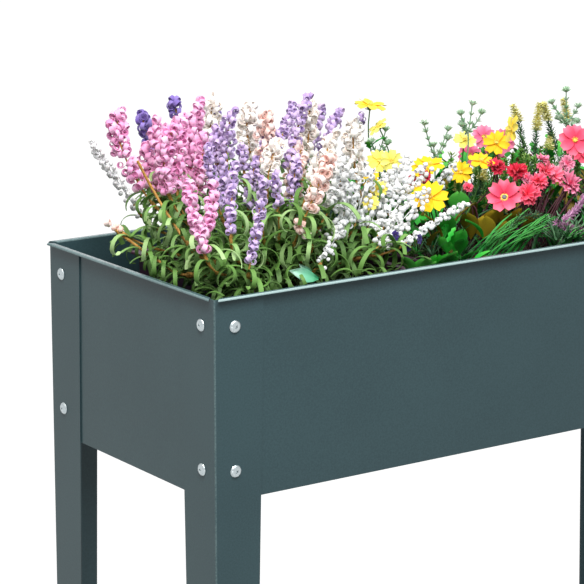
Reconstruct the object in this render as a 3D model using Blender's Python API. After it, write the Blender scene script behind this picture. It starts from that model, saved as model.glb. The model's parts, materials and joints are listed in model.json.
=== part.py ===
"""Planted raised bed: a folded sheet-steel trough on four tapered angle legs, filled with three
planting pots, their compost, low leaves and tall flower stems.

Units are metres. +Z is up, +X runs along the bed and the front side faces -Y. The origin is on the
ground, under the middle of the bed.
"""
import math

import bmesh
import bpy
from mathutils import Matrix, Vector

# ---- driving dimensions -------------------------------------------------------------------------
BED_LENGTH = 1.000          # over the outer corners of the legs, along X
BED_WIDTH = 0.400           # over the outer corners of the legs, along Y
BED_HEIGHT = 0.800          # ground to the top of the rim
PANEL_HEIGHT = 0.260        # rim to the bottom edge of a side panel
GAP = 0.0003                # left between two pieces that touch

PANEL_SHEET = 0.0012
RIM_OVERHANG = 0.006        # how far the rim reaches past the legs' outer faces
RIM_LIP = 0.003             # depth of the rim's turned-down edge
RIM_RELIEF = 0.012          # corner relief behind the rim's mitred end
LEDGE_WIDTH = 0.018         # inward fold that carries the floor

LEG_SHEET = 0.0015
SIDE_FLANGE = (0.057, 0.073)     # widths of a leg's flange on a long side: at the ground, at the rim
END_FLANGE = (0.060, 0.077)      # and of its flange on an end
FOOT_TAB = 0.020            # inward fold the leg stands on

FLOOR_SHEET = 0.0010
FLOOR_CLEARANCE = 0.0015    # floor's edge to the webs of the panels
DRAIN_HOLE_RADIUS = 0.006
DRAIN_COLUMNS = 5
DRAIN_ROWS = 2

BOLT_INSET = 0.030          # bolt axis to the leg's corner
BOLT_DROP = 0.038           # bolt axis to the rim, and to the panel's bottom edge
BOLT_HEAD_RADIUS = 0.0080
BOLT_HEAD_HEIGHT = 0.0032
BOLT_SHANK_RADIUS = 0.0029
BOLT_HOLE_RADIUS = 0.0034
NUT_RADIUS = 0.0055
NUT_HEIGHT = 0.0050
BOLT_TAIL = 0.0015

POT_LENGTH = 0.245          # along X, over the rim
POT_DEPTH = 0.320           # along Y, over the rim
POT_HEIGHT = 0.240
POT_WALL = 0.003
POT_RIM = 0.008             # width of the pot's rim
POT_RIM_THICKNESS = 0.004
POT_TAPER = 0.010           # each wall leans in by this much towards the base
POT_PITCH = 0.2775
COMPOST_BELOW_RIM = 0.018

LEAF_TUCK = 0.015           # leaf mass stays this far inside the pot's outline
LEAF_SWELL = 0.020          # and bulges this far over it
LEAF_TOP = 0.862
LEAF_NECK = 0.004           # it starts to bulge this far above the pot
LEAF_BULGE = 0.016          # and takes this much height to reach its full width
LEAF_SHOULDER = 0.022       # height over which its top narrows
LEAF_CROWN = 0.75           # to this share of its width
STEM_RADIUS = 0.0016
STEM_CHANNEL_RADIUS = 0.0030
STEM_KNEE = 0.006           # stems start to lean this far above the leaves
CUT_OVERSHOOT = 0.001       # how far a cutting shape passes a face it opens

# ---- heights and faces worked out from them -----------------------------------------------------
HALF_LENGTH = BED_LENGTH / 2
HALF_WIDTH = BED_WIDTH / 2
PANEL_BOTTOM = BED_HEIGHT - PANEL_HEIGHT
LEG_TOP = BED_HEIGHT - PANEL_SHEET - GAP
PANEL_SETBACK = LEG_SHEET + GAP                       # leg's outer face to the panel's outer face
BOLT_LEVELS = (BED_HEIGHT - BOLT_DROP, PANEL_BOTTOM + BOLT_DROP)
FLOOR_BOTTOM = PANEL_BOTTOM + PANEL_SHEET + GAP
POT_BOTTOM = FLOOR_BOTTOM + FLOOR_SHEET + GAP
POT_TOP = POT_BOTTOM + POT_HEIGHT
COMPOST_TOP = POT_TOP - COMPOST_BELOW_RIM


# ---- making things ------------------------------------------------------------------------------
def hex_to_linear(code):
    """Linear RGBA for an sRGB colour such as "4b5354"."""
    channels = [int(code[i:i + 2], 16) / 255 for i in (0, 2, 4)]
    return [c / 12.92 if c <= 0.04045 else ((c + 0.055) / 1.055) ** 2.4 for c in channels] + [1.0]


def make_material(name, colour, roughness, metallic=0.0):
    material = bpy.data.materials.new(name)
    material.use_nodes = True
    shader = material.node_tree.nodes["Principled BSDF"]
    shader.inputs["Base Color"].default_value = hex_to_linear(colour)
    shader.inputs["Roughness"].default_value = roughness
    shader.inputs["Metallic"].default_value = metallic
    return material


def make_object(name, bm, material, smooth_angle=30):
    """Turn a bmesh into a named object in the scene, its faces pointing outwards."""
    bmesh.ops.recalc_face_normals(bm, faces=bm.faces)
    mesh = bpy.data.meshes.new(name)
    bm.to_mesh(mesh)
    bm.free()
    mesh.materials.append(material)
    mesh.shade_smooth()
    mesh.set_sharp_from_angle(angle=math.radians(smooth_angle))
    thing = bpy.data.objects.new(name, mesh)
    bpy.context.scene.collection.objects.link(thing)
    return thing


def add_prism(bm, outline, extrusion):
    """Extrude a closed outline of points by a vector."""
    corners = [bm.verts.new(point) for point in outline]
    face = bm.faces.new(corners)
    grown = bmesh.ops.extrude_face_region(bm, geom=[face])["geom"]
    moved = [item for item in grown if isinstance(item, bmesh.types.BMVert)]
    bmesh.ops.translate(bm, verts=moved, vec=extrusion)


def add_box(bm, low, high):
    low, high = Vector(low), Vector(high)
    size = high - low
    place = Matrix.Translation((low + high) / 2) @ Matrix.Diagonal((*size, 1))
    bmesh.ops.create_cube(bm, size=1, matrix=place)


def add_rod(bm, centre, axis, radius, length, sides=8):
    turn = Vector((0, 0, 1)).rotation_difference(Vector(axis)).to_matrix().to_4x4()
    bmesh.ops.create_cone(bm, cap_ends=True, segments=sides, radius1=radius, radius2=radius,
                          depth=length, matrix=Matrix.Translation(centre) @ turn)


def cut(target, name, bm, operation="DIFFERENCE"):
    """Combine a hidden shape with an object by an exact Boolean."""
    tool = make_object(name, bm, target.data.materials[0])
    tool.hide_render = True
    tool.display_type = "WIRE"
    boolean = target.modifiers.new(name, "BOOLEAN")
    boolean.operation = operation
    boolean.solver = "EXACT"
    boolean.object = tool


for old in list(bpy.data.objects):
    bpy.data.objects.remove(old)

POWDER_COAT = make_material("slate_powder_coat", "4b5557", 0.45, 0.1)
ZINC = make_material("zinc_plate", "c4c8c6", 0.35, 1.0)
PLUM_PLASTIC = make_material("plum_plastic", "4a2c3c", 0.4)
COMPOST = make_material("compost", "2e221a", 0.95)
LEAF = make_material("leaf_green", "5f8a37", 0.6)
STEM_COLOURS = {
    "lavender": "9a92c8",
    "violet": "a888bc",
    "pink": "d88ab4",
    "cream": "e8dcc0",
    "peach": "e8b08c",
    "white": "f0eeea",
    "yellow": "f2c81e",
    "coral": "ee5a68",
    "red": "cc2a34",
    "frosted": "8fae86",
    "heather": "5d7a34",
}
PETALS = {name: make_material(name + "_petals", code, 0.7) for name, code in STEM_COLOURS.items()}


# ---- side panels: folded sheet with an outward rim above and an inward ledge below --------------
def panel_outline(face, rim):
    """Cross-section as (outward distance, height) pairs, for a web whose outer face is at `face`."""
    inner = face - PANEL_SHEET
    ledge = face - LEDGE_WIDTH
    return [
        (face, PANEL_BOTTOM),
        (ledge, PANEL_BOTTOM),
        (ledge, PANEL_BOTTOM + PANEL_SHEET),
        (inner, PANEL_BOTTOM + PANEL_SHEET),
        (inner, BED_HEIGHT),
        (rim, BED_HEIGHT),
        (rim, BED_HEIGHT - RIM_LIP),
        (rim - PANEL_SHEET, BED_HEIGHT - RIM_LIP),
        (rim - PANEL_SHEET, BED_HEIGHT - PANEL_SHEET),
        (face, BED_HEIGHT - PANEL_SHEET),
    ]


def make_panel(name, outward, half_span, face, rim, ledge_end):
    """A panel whose outside faces `outward`; it runs `half_span` each way across that direction."""
    outward = Vector(outward)
    along = Vector((0, 0, 1)).cross(outward)

    def at(out, side, height):
        return outward * out + along * side + Vector((0, 0, height))

    bm = bmesh.new()
    outline = [at(out, -half_span, height) for out, height in panel_outline(face, rim)]
    add_prism(bm, outline, along * 2 * half_span)
    panel = make_object(name, bm, POWDER_COAT)

    tools = bmesh.new()
    bolt_side = (HALF_LENGTH if outward.y else HALF_WIDTH) - BOLT_INSET
    for sign in (-1, 1):
        # the rim's mitred end, with a corner relief in the web behind it
        beyond = half_span + CUT_OVERSHOOT
        mitre = [(rim + CUT_OVERSHOOT, beyond), (rim - RIM_RELIEF, beyond),
                 (rim - RIM_RELIEF, half_span - RIM_RELIEF)]
        base = BED_HEIGHT - RIM_LIP - CUT_OVERSHOOT
        add_prism(tools, [at(out, sign * side, base) for out, side in mitre],
                  Vector((0, 0, RIM_LIP + 2 * CUT_OVERSHOOT)))
        # the ledge stops short of its neighbour at the corner
        corners = (at(face - PANEL_SHEET, sign * ledge_end, PANEL_BOTTOM - CUT_OVERSHOOT),
                   at(face - LEDGE_WIDTH - CUT_OVERSHOOT, sign * beyond,
                      PANEL_BOTTOM + PANEL_SHEET + CUT_OVERSHOOT))
        low = [min(pair) for pair in zip(*corners)]
        high = [max(pair) for pair in zip(*corners)]
        add_box(tools, low, high)
        for level in BOLT_LEVELS:
            add_rod(tools, at(face, sign * bolt_side, level), outward, BOLT_HOLE_RADIUS, 0.02)
    cut(panel, name + "_cuts", tools)
    return panel


LONG_FACE = HALF_WIDTH - PANEL_SETBACK
END_FACE = HALF_LENGTH - PANEL_SETBACK
LONG_SPAN = END_FACE                                        # long panels run the full length
END_SPAN = LONG_FACE - PANEL_SHEET - GAP                    # end panels fit between them
LONG_LEDGE_END = END_FACE - PANEL_SHEET - GAP
END_LEDGE_END = LONG_FACE - LEDGE_WIDTH - GAP

for name, outward in (("front_panel", (0, -1, 0)), ("back_panel", (0, 1, 0))):
    make_panel(name, outward, LONG_SPAN, LONG_FACE, HALF_WIDTH + RIM_OVERHANG, LONG_LEDGE_END)
for name, outward in (("left_end_panel", (-1, 0, 0)), ("right_end_panel", (1, 0, 0))):
    make_panel(name, outward, END_SPAN, END_FACE, HALF_LENGTH + RIM_OVERHANG, END_LEDGE_END)


# ---- floor: a flat sheet with drain holes, lying on the four ledges -----------------------------
FLOOR_HALF_LENGTH = END_FACE - PANEL_SHEET - FLOOR_CLEARANCE
FLOOR_HALF_WIDTH = LONG_FACE - PANEL_SHEET - FLOOR_CLEARANCE
bm = bmesh.new()
add_box(bm, (-FLOOR_HALF_LENGTH, -FLOOR_HALF_WIDTH, FLOOR_BOTTOM),
        (FLOOR_HALF_LENGTH, FLOOR_HALF_WIDTH, FLOOR_BOTTOM + FLOOR_SHEET))
floor_panel = make_object("floor_panel", bm, POWDER_COAT)
holes = bmesh.new()
for column in range(DRAIN_COLUMNS):
    for row in range(DRAIN_ROWS):
        x = BED_LENGTH * ((column + 0.5) / DRAIN_COLUMNS - 0.5)
        y = BED_WIDTH * 0.5 * ((row + 0.5) / DRAIN_ROWS - 0.5)
        add_rod(holes, (x, y, FLOOR_BOTTOM), (0, 0, 1), DRAIN_HOLE_RADIUS, 0.01)
cut(floor_panel, "floor_drain_holes", holes)


# ---- legs: folded angles that taper to the ground, with a foot tab turned in at the bottom -------
def make_leg(name, sign_x, sign_y):
    def corner(x, y, z):
        return Vector((sign_x * (HALF_LENGTH - x), sign_y * (HALF_WIDTH - y), z))

    def angle(width_x, width_y, thickness):
        return [(0, 0), (width_x, 0), (width_x, thickness), (thickness, thickness),
                (thickness, width_y), (0, width_y)]

    bm = bmesh.new()
    rings = []
    for height, width_x, width_y in zip((0, LEG_TOP), SIDE_FLANGE, END_FLANGE):
        outline = angle(width_x, width_y, LEG_SHEET)
        ring = [bm.verts.new(corner(x, y, height)) for x, y in outline]
        rings.append([bm.edges.new((ring[i - 1], ring[i])) for i in range(len(ring))])
        bm.faces.new(ring)
    bmesh.ops.bridge_loops(bm, edges=rings[0] + rings[1])
    leg = make_object(name, bm, POWDER_COAT)

    foot = bmesh.new()
    outline = [corner(x, y, 0) for x, y in angle(SIDE_FLANGE[0], END_FLANGE[0], FOOT_TAB)]
    add_prism(foot, outline, Vector((0, 0, LEG_SHEET)))
    cut(leg, name + "_foot_tab", foot, "UNION")

    holes = bmesh.new()
    for level in BOLT_LEVELS:
        add_rod(holes, corner(BOLT_INSET, 0, level), (0, 1, 0), BOLT_HOLE_RADIUS, 0.02)
        add_rod(holes, corner(0, BOLT_INSET, level), (1, 0, 0), BOLT_HOLE_RADIUS, 0.02)
    cut(leg, name + "_bolt_holes", holes)


# ---- bolts: a domed head on the leg, a shank through both sheets and a round nut behind them ----
def make_bolt(name, head_seat, outward):
    """Turn the bolt's profile about the shank; `head_seat` is on the leg's outer face."""
    seat = GAP
    nut_face = -(LEG_SHEET + GAP + PANEL_SHEET + GAP)
    profile = [
        (0, seat + BOLT_HEAD_HEIGHT),
        (BOLT_HEAD_RADIUS * 0.55, seat + BOLT_HEAD_HEIGHT * 0.86),
        (BOLT_HEAD_RADIUS * 0.88, seat + BOLT_HEAD_HEIGHT * 0.50),
        (BOLT_HEAD_RADIUS, seat),
        (BOLT_SHANK_RADIUS, seat),
        (BOLT_SHANK_RADIUS, nut_face),
        (NUT_RADIUS, nut_face),
        (NUT_RADIUS, nut_face - NUT_HEIGHT),
        (BOLT_SHANK_RADIUS, nut_face - NUT_HEIGHT),
        (BOLT_SHANK_RADIUS, nut_face - NUT_HEIGHT - BOLT_TAIL),
        (0, nut_face - NUT_HEIGHT - BOLT_TAIL),
    ]
    bm = bmesh.new()
    line = [bm.verts.new((radius, 0, height)) for radius, height in profile]
    edges = [bm.edges.new(pair) for pair in zip(line, line[1:])]
    bmesh.ops.spin(bm, geom=line + edges, cent=(0, 0, 0), axis=(0, 0, 1), angle=math.tau,
                   steps=10, use_merge=True)
    bmesh.ops.remove_doubles(bm, verts=bm.verts, dist=1e-5)
    turn = Vector((0, 0, 1)).rotation_difference(Vector(outward)).to_matrix().to_4x4()
    bmesh.ops.transform(bm, matrix=Matrix.Translation(head_seat) @ turn, verts=bm.verts)
    make_object(name, bm, ZINC)


for side_y, sign_y in (("front", -1), ("back", 1)):
    for side_x, sign_x in (("left", -1), ("right", 1)):
        make_leg(f"{side_y}_{side_x}_leg", sign_x, sign_y)
        for place, level in zip(("upper", "lower"), BOLT_LEVELS):
            side_seat = (sign_x * (HALF_LENGTH - BOLT_INSET), sign_y * HALF_WIDTH, level)
            make_bolt(f"{side_y}_{side_x}_side_bolt_{place}", side_seat, (0, sign_y, 0))
            end_seat = (sign_x * HALF_LENGTH, sign_y * (HALF_WIDTH - BOLT_INSET), level)
            make_bolt(f"{side_y}_{side_x}_end_bolt_{place}", end_seat, (sign_x, 0, 0))


# ---- pots, compost and the low leaves -----------------------------------------------------------
def rectangle(bm, centre_x, half_x, half_y, height):
    """A flat face in the pot's own plan."""
    corners = ((-1, -1), (1, -1), (1, 1), (-1, 1))
    return bm.faces.new([bm.verts.new((centre_x + x * half_x, y * half_y, height))
                         for x, y in corners])


def grow(bm, face, centre_x, half_x, half_y, rise):
    """Extrude a rectangle upwards to a new size and return the new face; the first stays as base."""
    is_base = all(len(edge.link_faces) == 1 for edge in face.edges)
    grown = bmesh.ops.extrude_face_region(bm, geom=[face])["geom"]
    top = [item for item in grown if isinstance(item, bmesh.types.BMFace)][0]
    if not is_base:
        bmesh.ops.delete(bm, geom=[face], context="FACES_ONLY")
    middle = top.calc_center_median()
    for vert in top.verts:
        vert.co.x = centre_x + math.copysign(half_x, vert.co.x - middle.x)
        vert.co.y = math.copysign(half_y, vert.co.y)
        vert.co.z += rise
    return top


def make_pot(name, centre_x):
    half_x = POT_LENGTH / 2 - POT_RIM
    half_y = POT_DEPTH / 2 - POT_RIM
    bm = bmesh.new()
    face = rectangle(bm, centre_x, half_x - POT_TAPER, half_y - POT_TAPER, POT_BOTTOM)
    steps = (
        (0, 0, POT_HEIGHT - POT_RIM_THICKNESS),
        (POT_RIM, POT_RIM, 0),
        (POT_RIM, POT_RIM, POT_RIM_THICKNESS),
        (-POT_WALL, -POT_WALL, 0),
        (-POT_WALL - POT_TAPER, -POT_WALL - POT_TAPER, POT_WALL - POT_HEIGHT),
    )
    for wider, deeper, rise in steps:
        face = grow(bm, face, centre_x, half_x + wider, half_y + deeper, rise)
    make_object(name, bm, PLUM_PLASTIC)


def make_compost(name, centre_x):
    """A block with the pot's own taper, a hair smaller than its inside."""
    margin = POT_RIM + POT_WALL + 2 * GAP
    half_x = POT_LENGTH / 2 - margin
    half_y = POT_DEPTH / 2 - margin
    lean = POT_TAPER * COMPOST_BELOW_RIM / POT_HEIGHT
    bm = bmesh.new()
    face = rectangle(bm, centre_x, half_x - POT_TAPER, half_y - POT_TAPER,
                     POT_BOTTOM + POT_WALL + GAP)
    grow(bm, face, centre_x, half_x - lean, half_y - lean,
         COMPOST_TOP - POT_BOTTOM - POT_WALL - GAP)
    make_object(name, bm, COMPOST)


def make_leaves(name, centre_x, feet):
    """The leaf mass: tucked into the pot, swelling over its rim, with a channel for each stem."""
    tucked_x = POT_LENGTH / 2 - LEAF_TUCK
    tucked_y = POT_DEPTH / 2 - LEAF_TUCK
    over_x = min(POT_LENGTH / 2 + LEAF_SWELL, POT_PITCH / 2 - GAP)
    over_y = POT_DEPTH / 2 + LEAF_SWELL
    start = COMPOST_TOP + GAP
    bm = bmesh.new()
    neck = POT_TOP + LEAF_NECK
    flank = LEAF_TOP - LEAF_SHOULDER - neck - LEAF_BULGE
    face = rectangle(bm, centre_x, tucked_x, tucked_y, start)
    face = grow(bm, face, centre_x, tucked_x, tucked_y, neck - start)
    face = grow(bm, face, centre_x, over_x, over_y, LEAF_BULGE)
    face = grow(bm, face, centre_x, over_x, over_y, flank)
    grow(bm, face, centre_x, over_x * LEAF_CROWN, over_y * LEAF_CROWN, LEAF_SHOULDER)
    leaves = make_object(name, bm, LEAF, 60)
    channels = bmesh.new()
    for x, y in feet:
        middle = (x, y, (COMPOST_TOP + LEAF_TOP) / 2)
        add_rod(channels, middle, (0, 0, 1), STEM_CHANNEL_RADIUS, LEAF_TOP - COMPOST_TOP + 0.02, 6)
    cut(leaves, name + "_stem_channels", channels)


# ---- flower stems: one tube each, whose radius swells into its head -----------------------------
HEADS = {
    # (distance back from the tip, radius) pairs
    "wand": ((0.085, 0.0030), (0.075, 0.0100), (0.020, 0.0110), (0.004, 0.0060), (0, 0.0010)),
    "sprig": ((0.060, 0.0022), (0.045, 0.0060), (0.012, 0.0050), (0, 0.0010)),
    "cosmos": ((0.014, 0.0022), (0.008, 0.0060), (0.006, 0.0210), (0.004, 0.0210),
               (0.003, 0.0060), (0, 0.0030)),
    "pompon": ((0.030, 0.0022), (0.024, 0.0120), (0.010, 0.0150), (0.002, 0.0090), (0, 0.0020)),
    "buds": ((0.075, 0.0025), (0.060, 0.0120), (0.020, 0.0150), (0, 0.0040)),
    "fern": ((0.100, 0.0025), (0.070, 0.0140), (0.025, 0.0100), (0, 0.0010)),
}
# name, kind of head, colour, pot, tip position
PLANTING = (
    ("pink_wand_outer", "wand", "pink", -1, (-0.478, 0.060, 0.988)),
    ("violet_sprig_left", "sprig", "violet", -1, (-0.403, 0.120, 0.968)),
    ("pink_wand_left", "wand", "pink", -1, (-0.440, -0.010, 0.980)),
    ("pink_wand_upper", "wand", "pink", -1, (-0.356, 0.040, 0.990)),
    ("cream_wand_left", "wand", "cream", -1, (-0.320, 0.090, 0.994)),
    ("lavender_wand_large", "wand", "lavender", -1, (-0.363, -0.035, 0.992)),
    ("lavender_wand_front", "wand", "lavender", -1, (-0.415, -0.120, 0.938)),
    ("peach_wand", "wand", "peach", -1, (-0.289, 0.000, 0.976)),
    ("lavender_wand_mid", "wand", "lavender", -1, (-0.212, 0.050, 0.975)),
    ("lavender_wand_tall", "wand", "lavender", -1, (-0.244, -0.035, 1.000)),
    ("cream_wand_right", "wand", "cream", -1, (-0.236, -0.085, 0.955)),
    ("white_wand", "wand", "white", 0, (-0.130, 0.030, 0.946)),
    ("white_bud_spray", "buds", "white", 0, (-0.121, -0.080, 0.908)),
    ("yellow_cosmos_tall", "cosmos", "yellow", 0, (-0.102, 0.080, 0.971)),
    ("yellow_cosmos_large", "cosmos", "yellow", 0, (-0.061, -0.085, 0.888)),
    ("frosted_fern_left", "fern", "frosted", 0, (0.008, 0.050, 0.937)),
    ("frosted_fern_tall", "fern", "frosted", 0, (0.068, 0.020, 0.962)),
    ("coral_anemone_front", "cosmos", "coral", 0, (0.037, -0.090, 0.885)),
    ("yellow_cosmos_right", "cosmos", "yellow", 0, (0.116, 0.070, 0.907)),
    ("red_pompon", "pompon", "red", 1, (0.166, -0.070, 0.892)),
    ("green_heather", "sprig", "heather", 1, (0.195, 0.080, 0.941)),
    ("coral_anemone_right", "cosmos", "coral", 1, (0.224, -0.020, 0.902)),
    ("frosted_fern_right", "fern", "frosted", 1, (0.264, 0.050, 0.961)),
    ("pink_pompon_far", "pompon", "pink", 1, (0.320, -0.080, 0.905)),
    ("lavender_wand_far", "wand", "lavender", 1, (0.380, 0.020, 0.975)),
    ("white_wand_far", "wand", "white", 1, (0.450, 0.070, 0.960)),
)
FOOT_PULL = 0.42            # a stem's foot lies this share of the tip's distance from the pot's middle


def stem_foot(pot, tip):
    centre_x = pot * POT_PITCH
    return centre_x + (tip[0] - centre_x) * FOOT_PULL, tip[1] * FOOT_PULL


def make_stem(name, kind, colour, pot, tip):
    """A tube from the compost, upright through the leaves and then leaning out to its tip."""
    foot_x, foot_y = stem_foot(pot, tip)
    foot = Vector((foot_x, foot_y, COMPOST_TOP + GAP))
    knee = Vector((foot_x, foot_y, LEAF_TOP + STEM_KNEE))
    tip = Vector(tip)
    reach = (tip - knee).length
    ahead = (tip - knee) / reach
    head = HEADS[kind]
    squeeze = min(1, 0.9 * reach / head[0][0])          # a short stem carries a shorter head
    points = [(foot, STEM_RADIUS), (knee, STEM_RADIUS)]
    points += [(tip - ahead * back * squeeze, radius) for back, radius in head]
    curve = bpy.data.curves.new(name, "CURVE")
    curve.dimensions = "3D"
    curve.bevel_depth = 1.0
    curve.bevel_resolution = 1
    curve.use_fill_caps = True
    spline = curve.splines.new("POLY")
    spline.points.add(len(points) - 1)
    for slot, (place, radius) in zip(spline.points, points):
        slot.co = (*place, 1)
        slot.radius = radius
    curve.materials.append(PETALS[colour])
    stem = bpy.data.objects.new(name, curve)
    bpy.context.scene.collection.objects.link(stem)


for pot, side in ((-1, "left"), (0, "middle"), (1, "right")):
    centre = pot * POT_PITCH
    make_pot(f"{side}_pot", centre)
    make_compost(f"{side}_compost", centre)
    feet = [stem_foot(row[3], row[4]) for row in PLANTING if row[3] == pot]
    make_leaves(f"{side}_leaves", centre, feet)
for row in PLANTING:
    make_stem(*row)
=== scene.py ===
"""A planted raised bed: a slate-grey sheet-steel trough on four tapered angle legs, planted with
rolled-foam flower wands, silk wild flowers, fern sprays and ribbon leaves."""
import json
import math
import random

import bmesh
import bpy
from mathutils import Matrix, Vector, noise

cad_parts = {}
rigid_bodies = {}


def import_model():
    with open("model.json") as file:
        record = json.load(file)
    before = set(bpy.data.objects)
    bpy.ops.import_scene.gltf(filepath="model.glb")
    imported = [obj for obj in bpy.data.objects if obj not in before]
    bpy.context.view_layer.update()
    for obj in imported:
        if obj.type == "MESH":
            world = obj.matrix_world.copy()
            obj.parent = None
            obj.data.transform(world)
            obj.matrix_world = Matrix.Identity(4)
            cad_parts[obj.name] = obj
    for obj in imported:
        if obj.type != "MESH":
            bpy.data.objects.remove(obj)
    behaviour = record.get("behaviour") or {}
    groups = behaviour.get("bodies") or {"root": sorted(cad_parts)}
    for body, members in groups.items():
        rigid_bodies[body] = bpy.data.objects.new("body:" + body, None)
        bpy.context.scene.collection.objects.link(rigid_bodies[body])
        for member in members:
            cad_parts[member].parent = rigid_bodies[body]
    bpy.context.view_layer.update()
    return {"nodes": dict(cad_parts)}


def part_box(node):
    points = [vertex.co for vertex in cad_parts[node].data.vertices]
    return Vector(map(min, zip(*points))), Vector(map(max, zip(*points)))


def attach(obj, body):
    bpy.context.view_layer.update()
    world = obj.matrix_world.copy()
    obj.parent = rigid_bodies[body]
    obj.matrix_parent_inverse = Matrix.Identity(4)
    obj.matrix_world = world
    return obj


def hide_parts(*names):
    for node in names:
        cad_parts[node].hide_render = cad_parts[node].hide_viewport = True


for old in list(bpy.data.objects):
    bpy.data.objects.remove(old)
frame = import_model()

# ---- Side panels --------------------------------------------------------------------------------
# Four panels of 1.2 mm sheet steel, each with a narrow rim turned outwards along the top and a
# ledge turned inwards below. Folded on a press brake, then powder coated in one fine matt grey.
BED_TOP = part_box("front_panel")[1].z
RIM_FOLD_RADIUS = 0.0024
# painted highlight along each rim's fold, stronger on the front panel
FRONT_RIM_PAINTED_HIGHLIGHT = 0.65
RIM_PAINTED_HIGHLIGHT = 0.32
TRIM_RADIUS = 0.00035


def srgb(code):
    """Linear colour for an sRGB hex code."""
    channels = [int(code[i:i + 2], 16) / 255 for i in (0, 2, 4)]
    return [c / 12.92 if c <= 0.04045 else ((c + 0.055) / 1.055) ** 2.4 for c in channels] + [1.0]


def add_node(tree, kind, inputs=None, stops=None, **settings):
    """Add a shader node; an input takes a value or another node's socket, stops fill a ramp."""
    node = tree.nodes.new("ShaderNode" + kind)
    for name, value in settings.items():
        setattr(node, name, value)
    for key, value in (inputs or {}).items():
        if isinstance(value, bpy.types.NodeSocket):
            tree.links.new(value, node.inputs[key])
        else:
            node.inputs[key].default_value = value
    if stops:
        ramp = node.color_ramp
        while len(ramp.elements) < len(stops):
            ramp.elements.new(0.5)
        for element, (position, code) in zip(ramp.elements, stops):
            element.position = position
            element.color = srgb(code)
    return node


def start_material(name, **values):
    """A material with its Principled shader's own values set, and the tree for its pattern."""
    material = bpy.data.materials.new(name)
    material.use_nodes = True
    shader = material.node_tree.nodes["Principled BSDF"]
    for key, value in values.items():
        shader.inputs[key.replace("_", " ")].default_value = value
    return material, material.node_tree, shader


def paint(tree, shader, level, stops, height, strength, depth):
    """Colour a surface by a ramp over `level`, and emboss it by `height` to a depth in metres."""
    tone = add_node(tree, "ValToRGB", {"Fac": level}, stops=stops)
    bump = add_node(tree, "Bump", {"Height": height, "Strength": strength, "Distance": depth})
    tree.links.new(tone.outputs["Color"], shader.inputs["Base Color"])
    tree.links.new(bump.outputs["Normal"], shader.inputs["Normal"])


# Polyester powder coat: cured to a fine orange peel, so its gloss is broken into soft specks. A
# painted highlight runs over every sharp fold, where the "fold" value of the faces is raised.
# Specks 2.4 mm and peel 1.5 mm wide, a little coarser than on a real coat so that they show.
powder_coat, tree, shader = start_material("slate_powder_coat", Specular_IOR_Level=0.25)
place = add_node(tree, "TexCoord").outputs["Object"]
drift = add_node(tree, "TexNoise", {"Vector": place, "Scale": 9.0}).outputs["Fac"]
speck = add_node(tree, "TexNoise", {"Vector": place, "Scale": 420.0, "Detail": 3.0}).outputs["Fac"]
peel = add_node(tree, "TexNoise", {"Vector": place, "Scale": 650.0, "Detail": 1.0}).outputs["Fac"]
# painted highlight: the faces' fold value lifts the coat's colour towards the palest stop
fold = add_node(tree, "Attribute", attribute_name="fold").outputs["Fac"]
mixed = add_node(tree, "Mix", {"Factor": 0.70, "A": drift, "B": speck}, data_type="FLOAT")
coat_tone_with_painted_highlight = add_node(tree, "Math", {0: mixed.outputs["Result"], 1: 0.5, 2: fold},
                   operation="MULTIPLY_ADD")
shine = add_node(tree, "MapRange", {"Value": speck, "To Min": 0.27, "To Max": 0.37})
tree.links.new(shine.outputs["Result"], shader.inputs["Roughness"])
# the palest stop, 9db4b4, is reached only on the folds: it is the painted highlight
paint(tree, shader, coat_tone_with_painted_highlight.outputs[0],
      ((0.18, "395055"), (0.32, "415a5f"), (0.42, "415a5f"), (0.92, "9db4b4")), peel, 0.12, 0.0004)


def add_object(name, data, place=(0, 0, 0), turn=(0, 0, 0)):
    """Put an object in the scene, turned by angles in degrees."""
    made = bpy.data.objects.new(name, data)
    made.location = place
    made.rotation_euler = [math.radians(angle) for angle in turn]
    bpy.context.scene.collection.objects.link(made)
    return made


def keep_mesh(name, bm):
    """Turn a bmesh into a mesh, and free it."""
    mesh = bpy.data.meshes.new(name)
    bm.to_mesh(mesh)
    bm.free()
    return mesh


def from_cad(node):
    """The CAD solid with its loose triangles joined into clean flat faces."""
    bm = bmesh.new()
    bm.from_mesh(frame["nodes"][node].data)
    bmesh.ops.remove_doubles(bm, verts=bm.verts, dist=1e-5)
    bmesh.ops.dissolve_limit(bm, angle_limit=0.02, verts=bm.verts, edges=bm.edges)
    bm.faces.layers.float.new("fold")
    return bm


def bevel(bm, edges, width, segments, painted_highlight=0.0):
    """Round some edges; a nonzero last value gives the new faces a painted highlight along the fold.
    """
    made = bmesh.ops.bevel(bm, geom=edges, offset=width, offset_type="OFFSET", segments=segments,
                           profile=0.5, affect="EDGES", material=-1, clamp_overlap=True)
    # painted highlight: the faces of the rounded fold are marked to be drawn pale
    if painted_highlight:
        fold = bm.faces.layers.float["fold"]
        for face in made["faces"]:
            face[fold] = painted_highlight


def creased(bm, least_length=0.004, least_angle=0.8):
    """Edges of some length between two faces that turn sharply."""
    return [edge for edge in bm.edges if len(edge.link_faces) == 2
            and edge.calc_length() > least_length and edge.calc_face_angle(0) > least_angle]


def ride_bed(piece, nodes=()):
    """Let a piece ride on the bed, and stand for those of the named nodes that the CAD has."""
    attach(piece, "root")
    nodes = [node for node in nodes if node in frame["nodes"]]
    if nodes:
        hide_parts(*nodes)


def finish_piece(name, bm, material, nodes=(), smooth=50, weighted=False):
    """Turn a bmesh into a piece; edges sharper than `smooth` degrees stay sharp."""
    mesh = keep_mesh(name, bm)
    mesh.materials.append(material)
    mesh.shade_smooth()
    mesh.set_sharp_from_angle(angle=math.radians(smooth))
    piece = add_object(name, mesh)
    if weighted:
        piece.modifiers.new("flat_faces", "WEIGHTED_NORMAL").keep_sharp = True
    ride_bed(piece, nodes)


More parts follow.
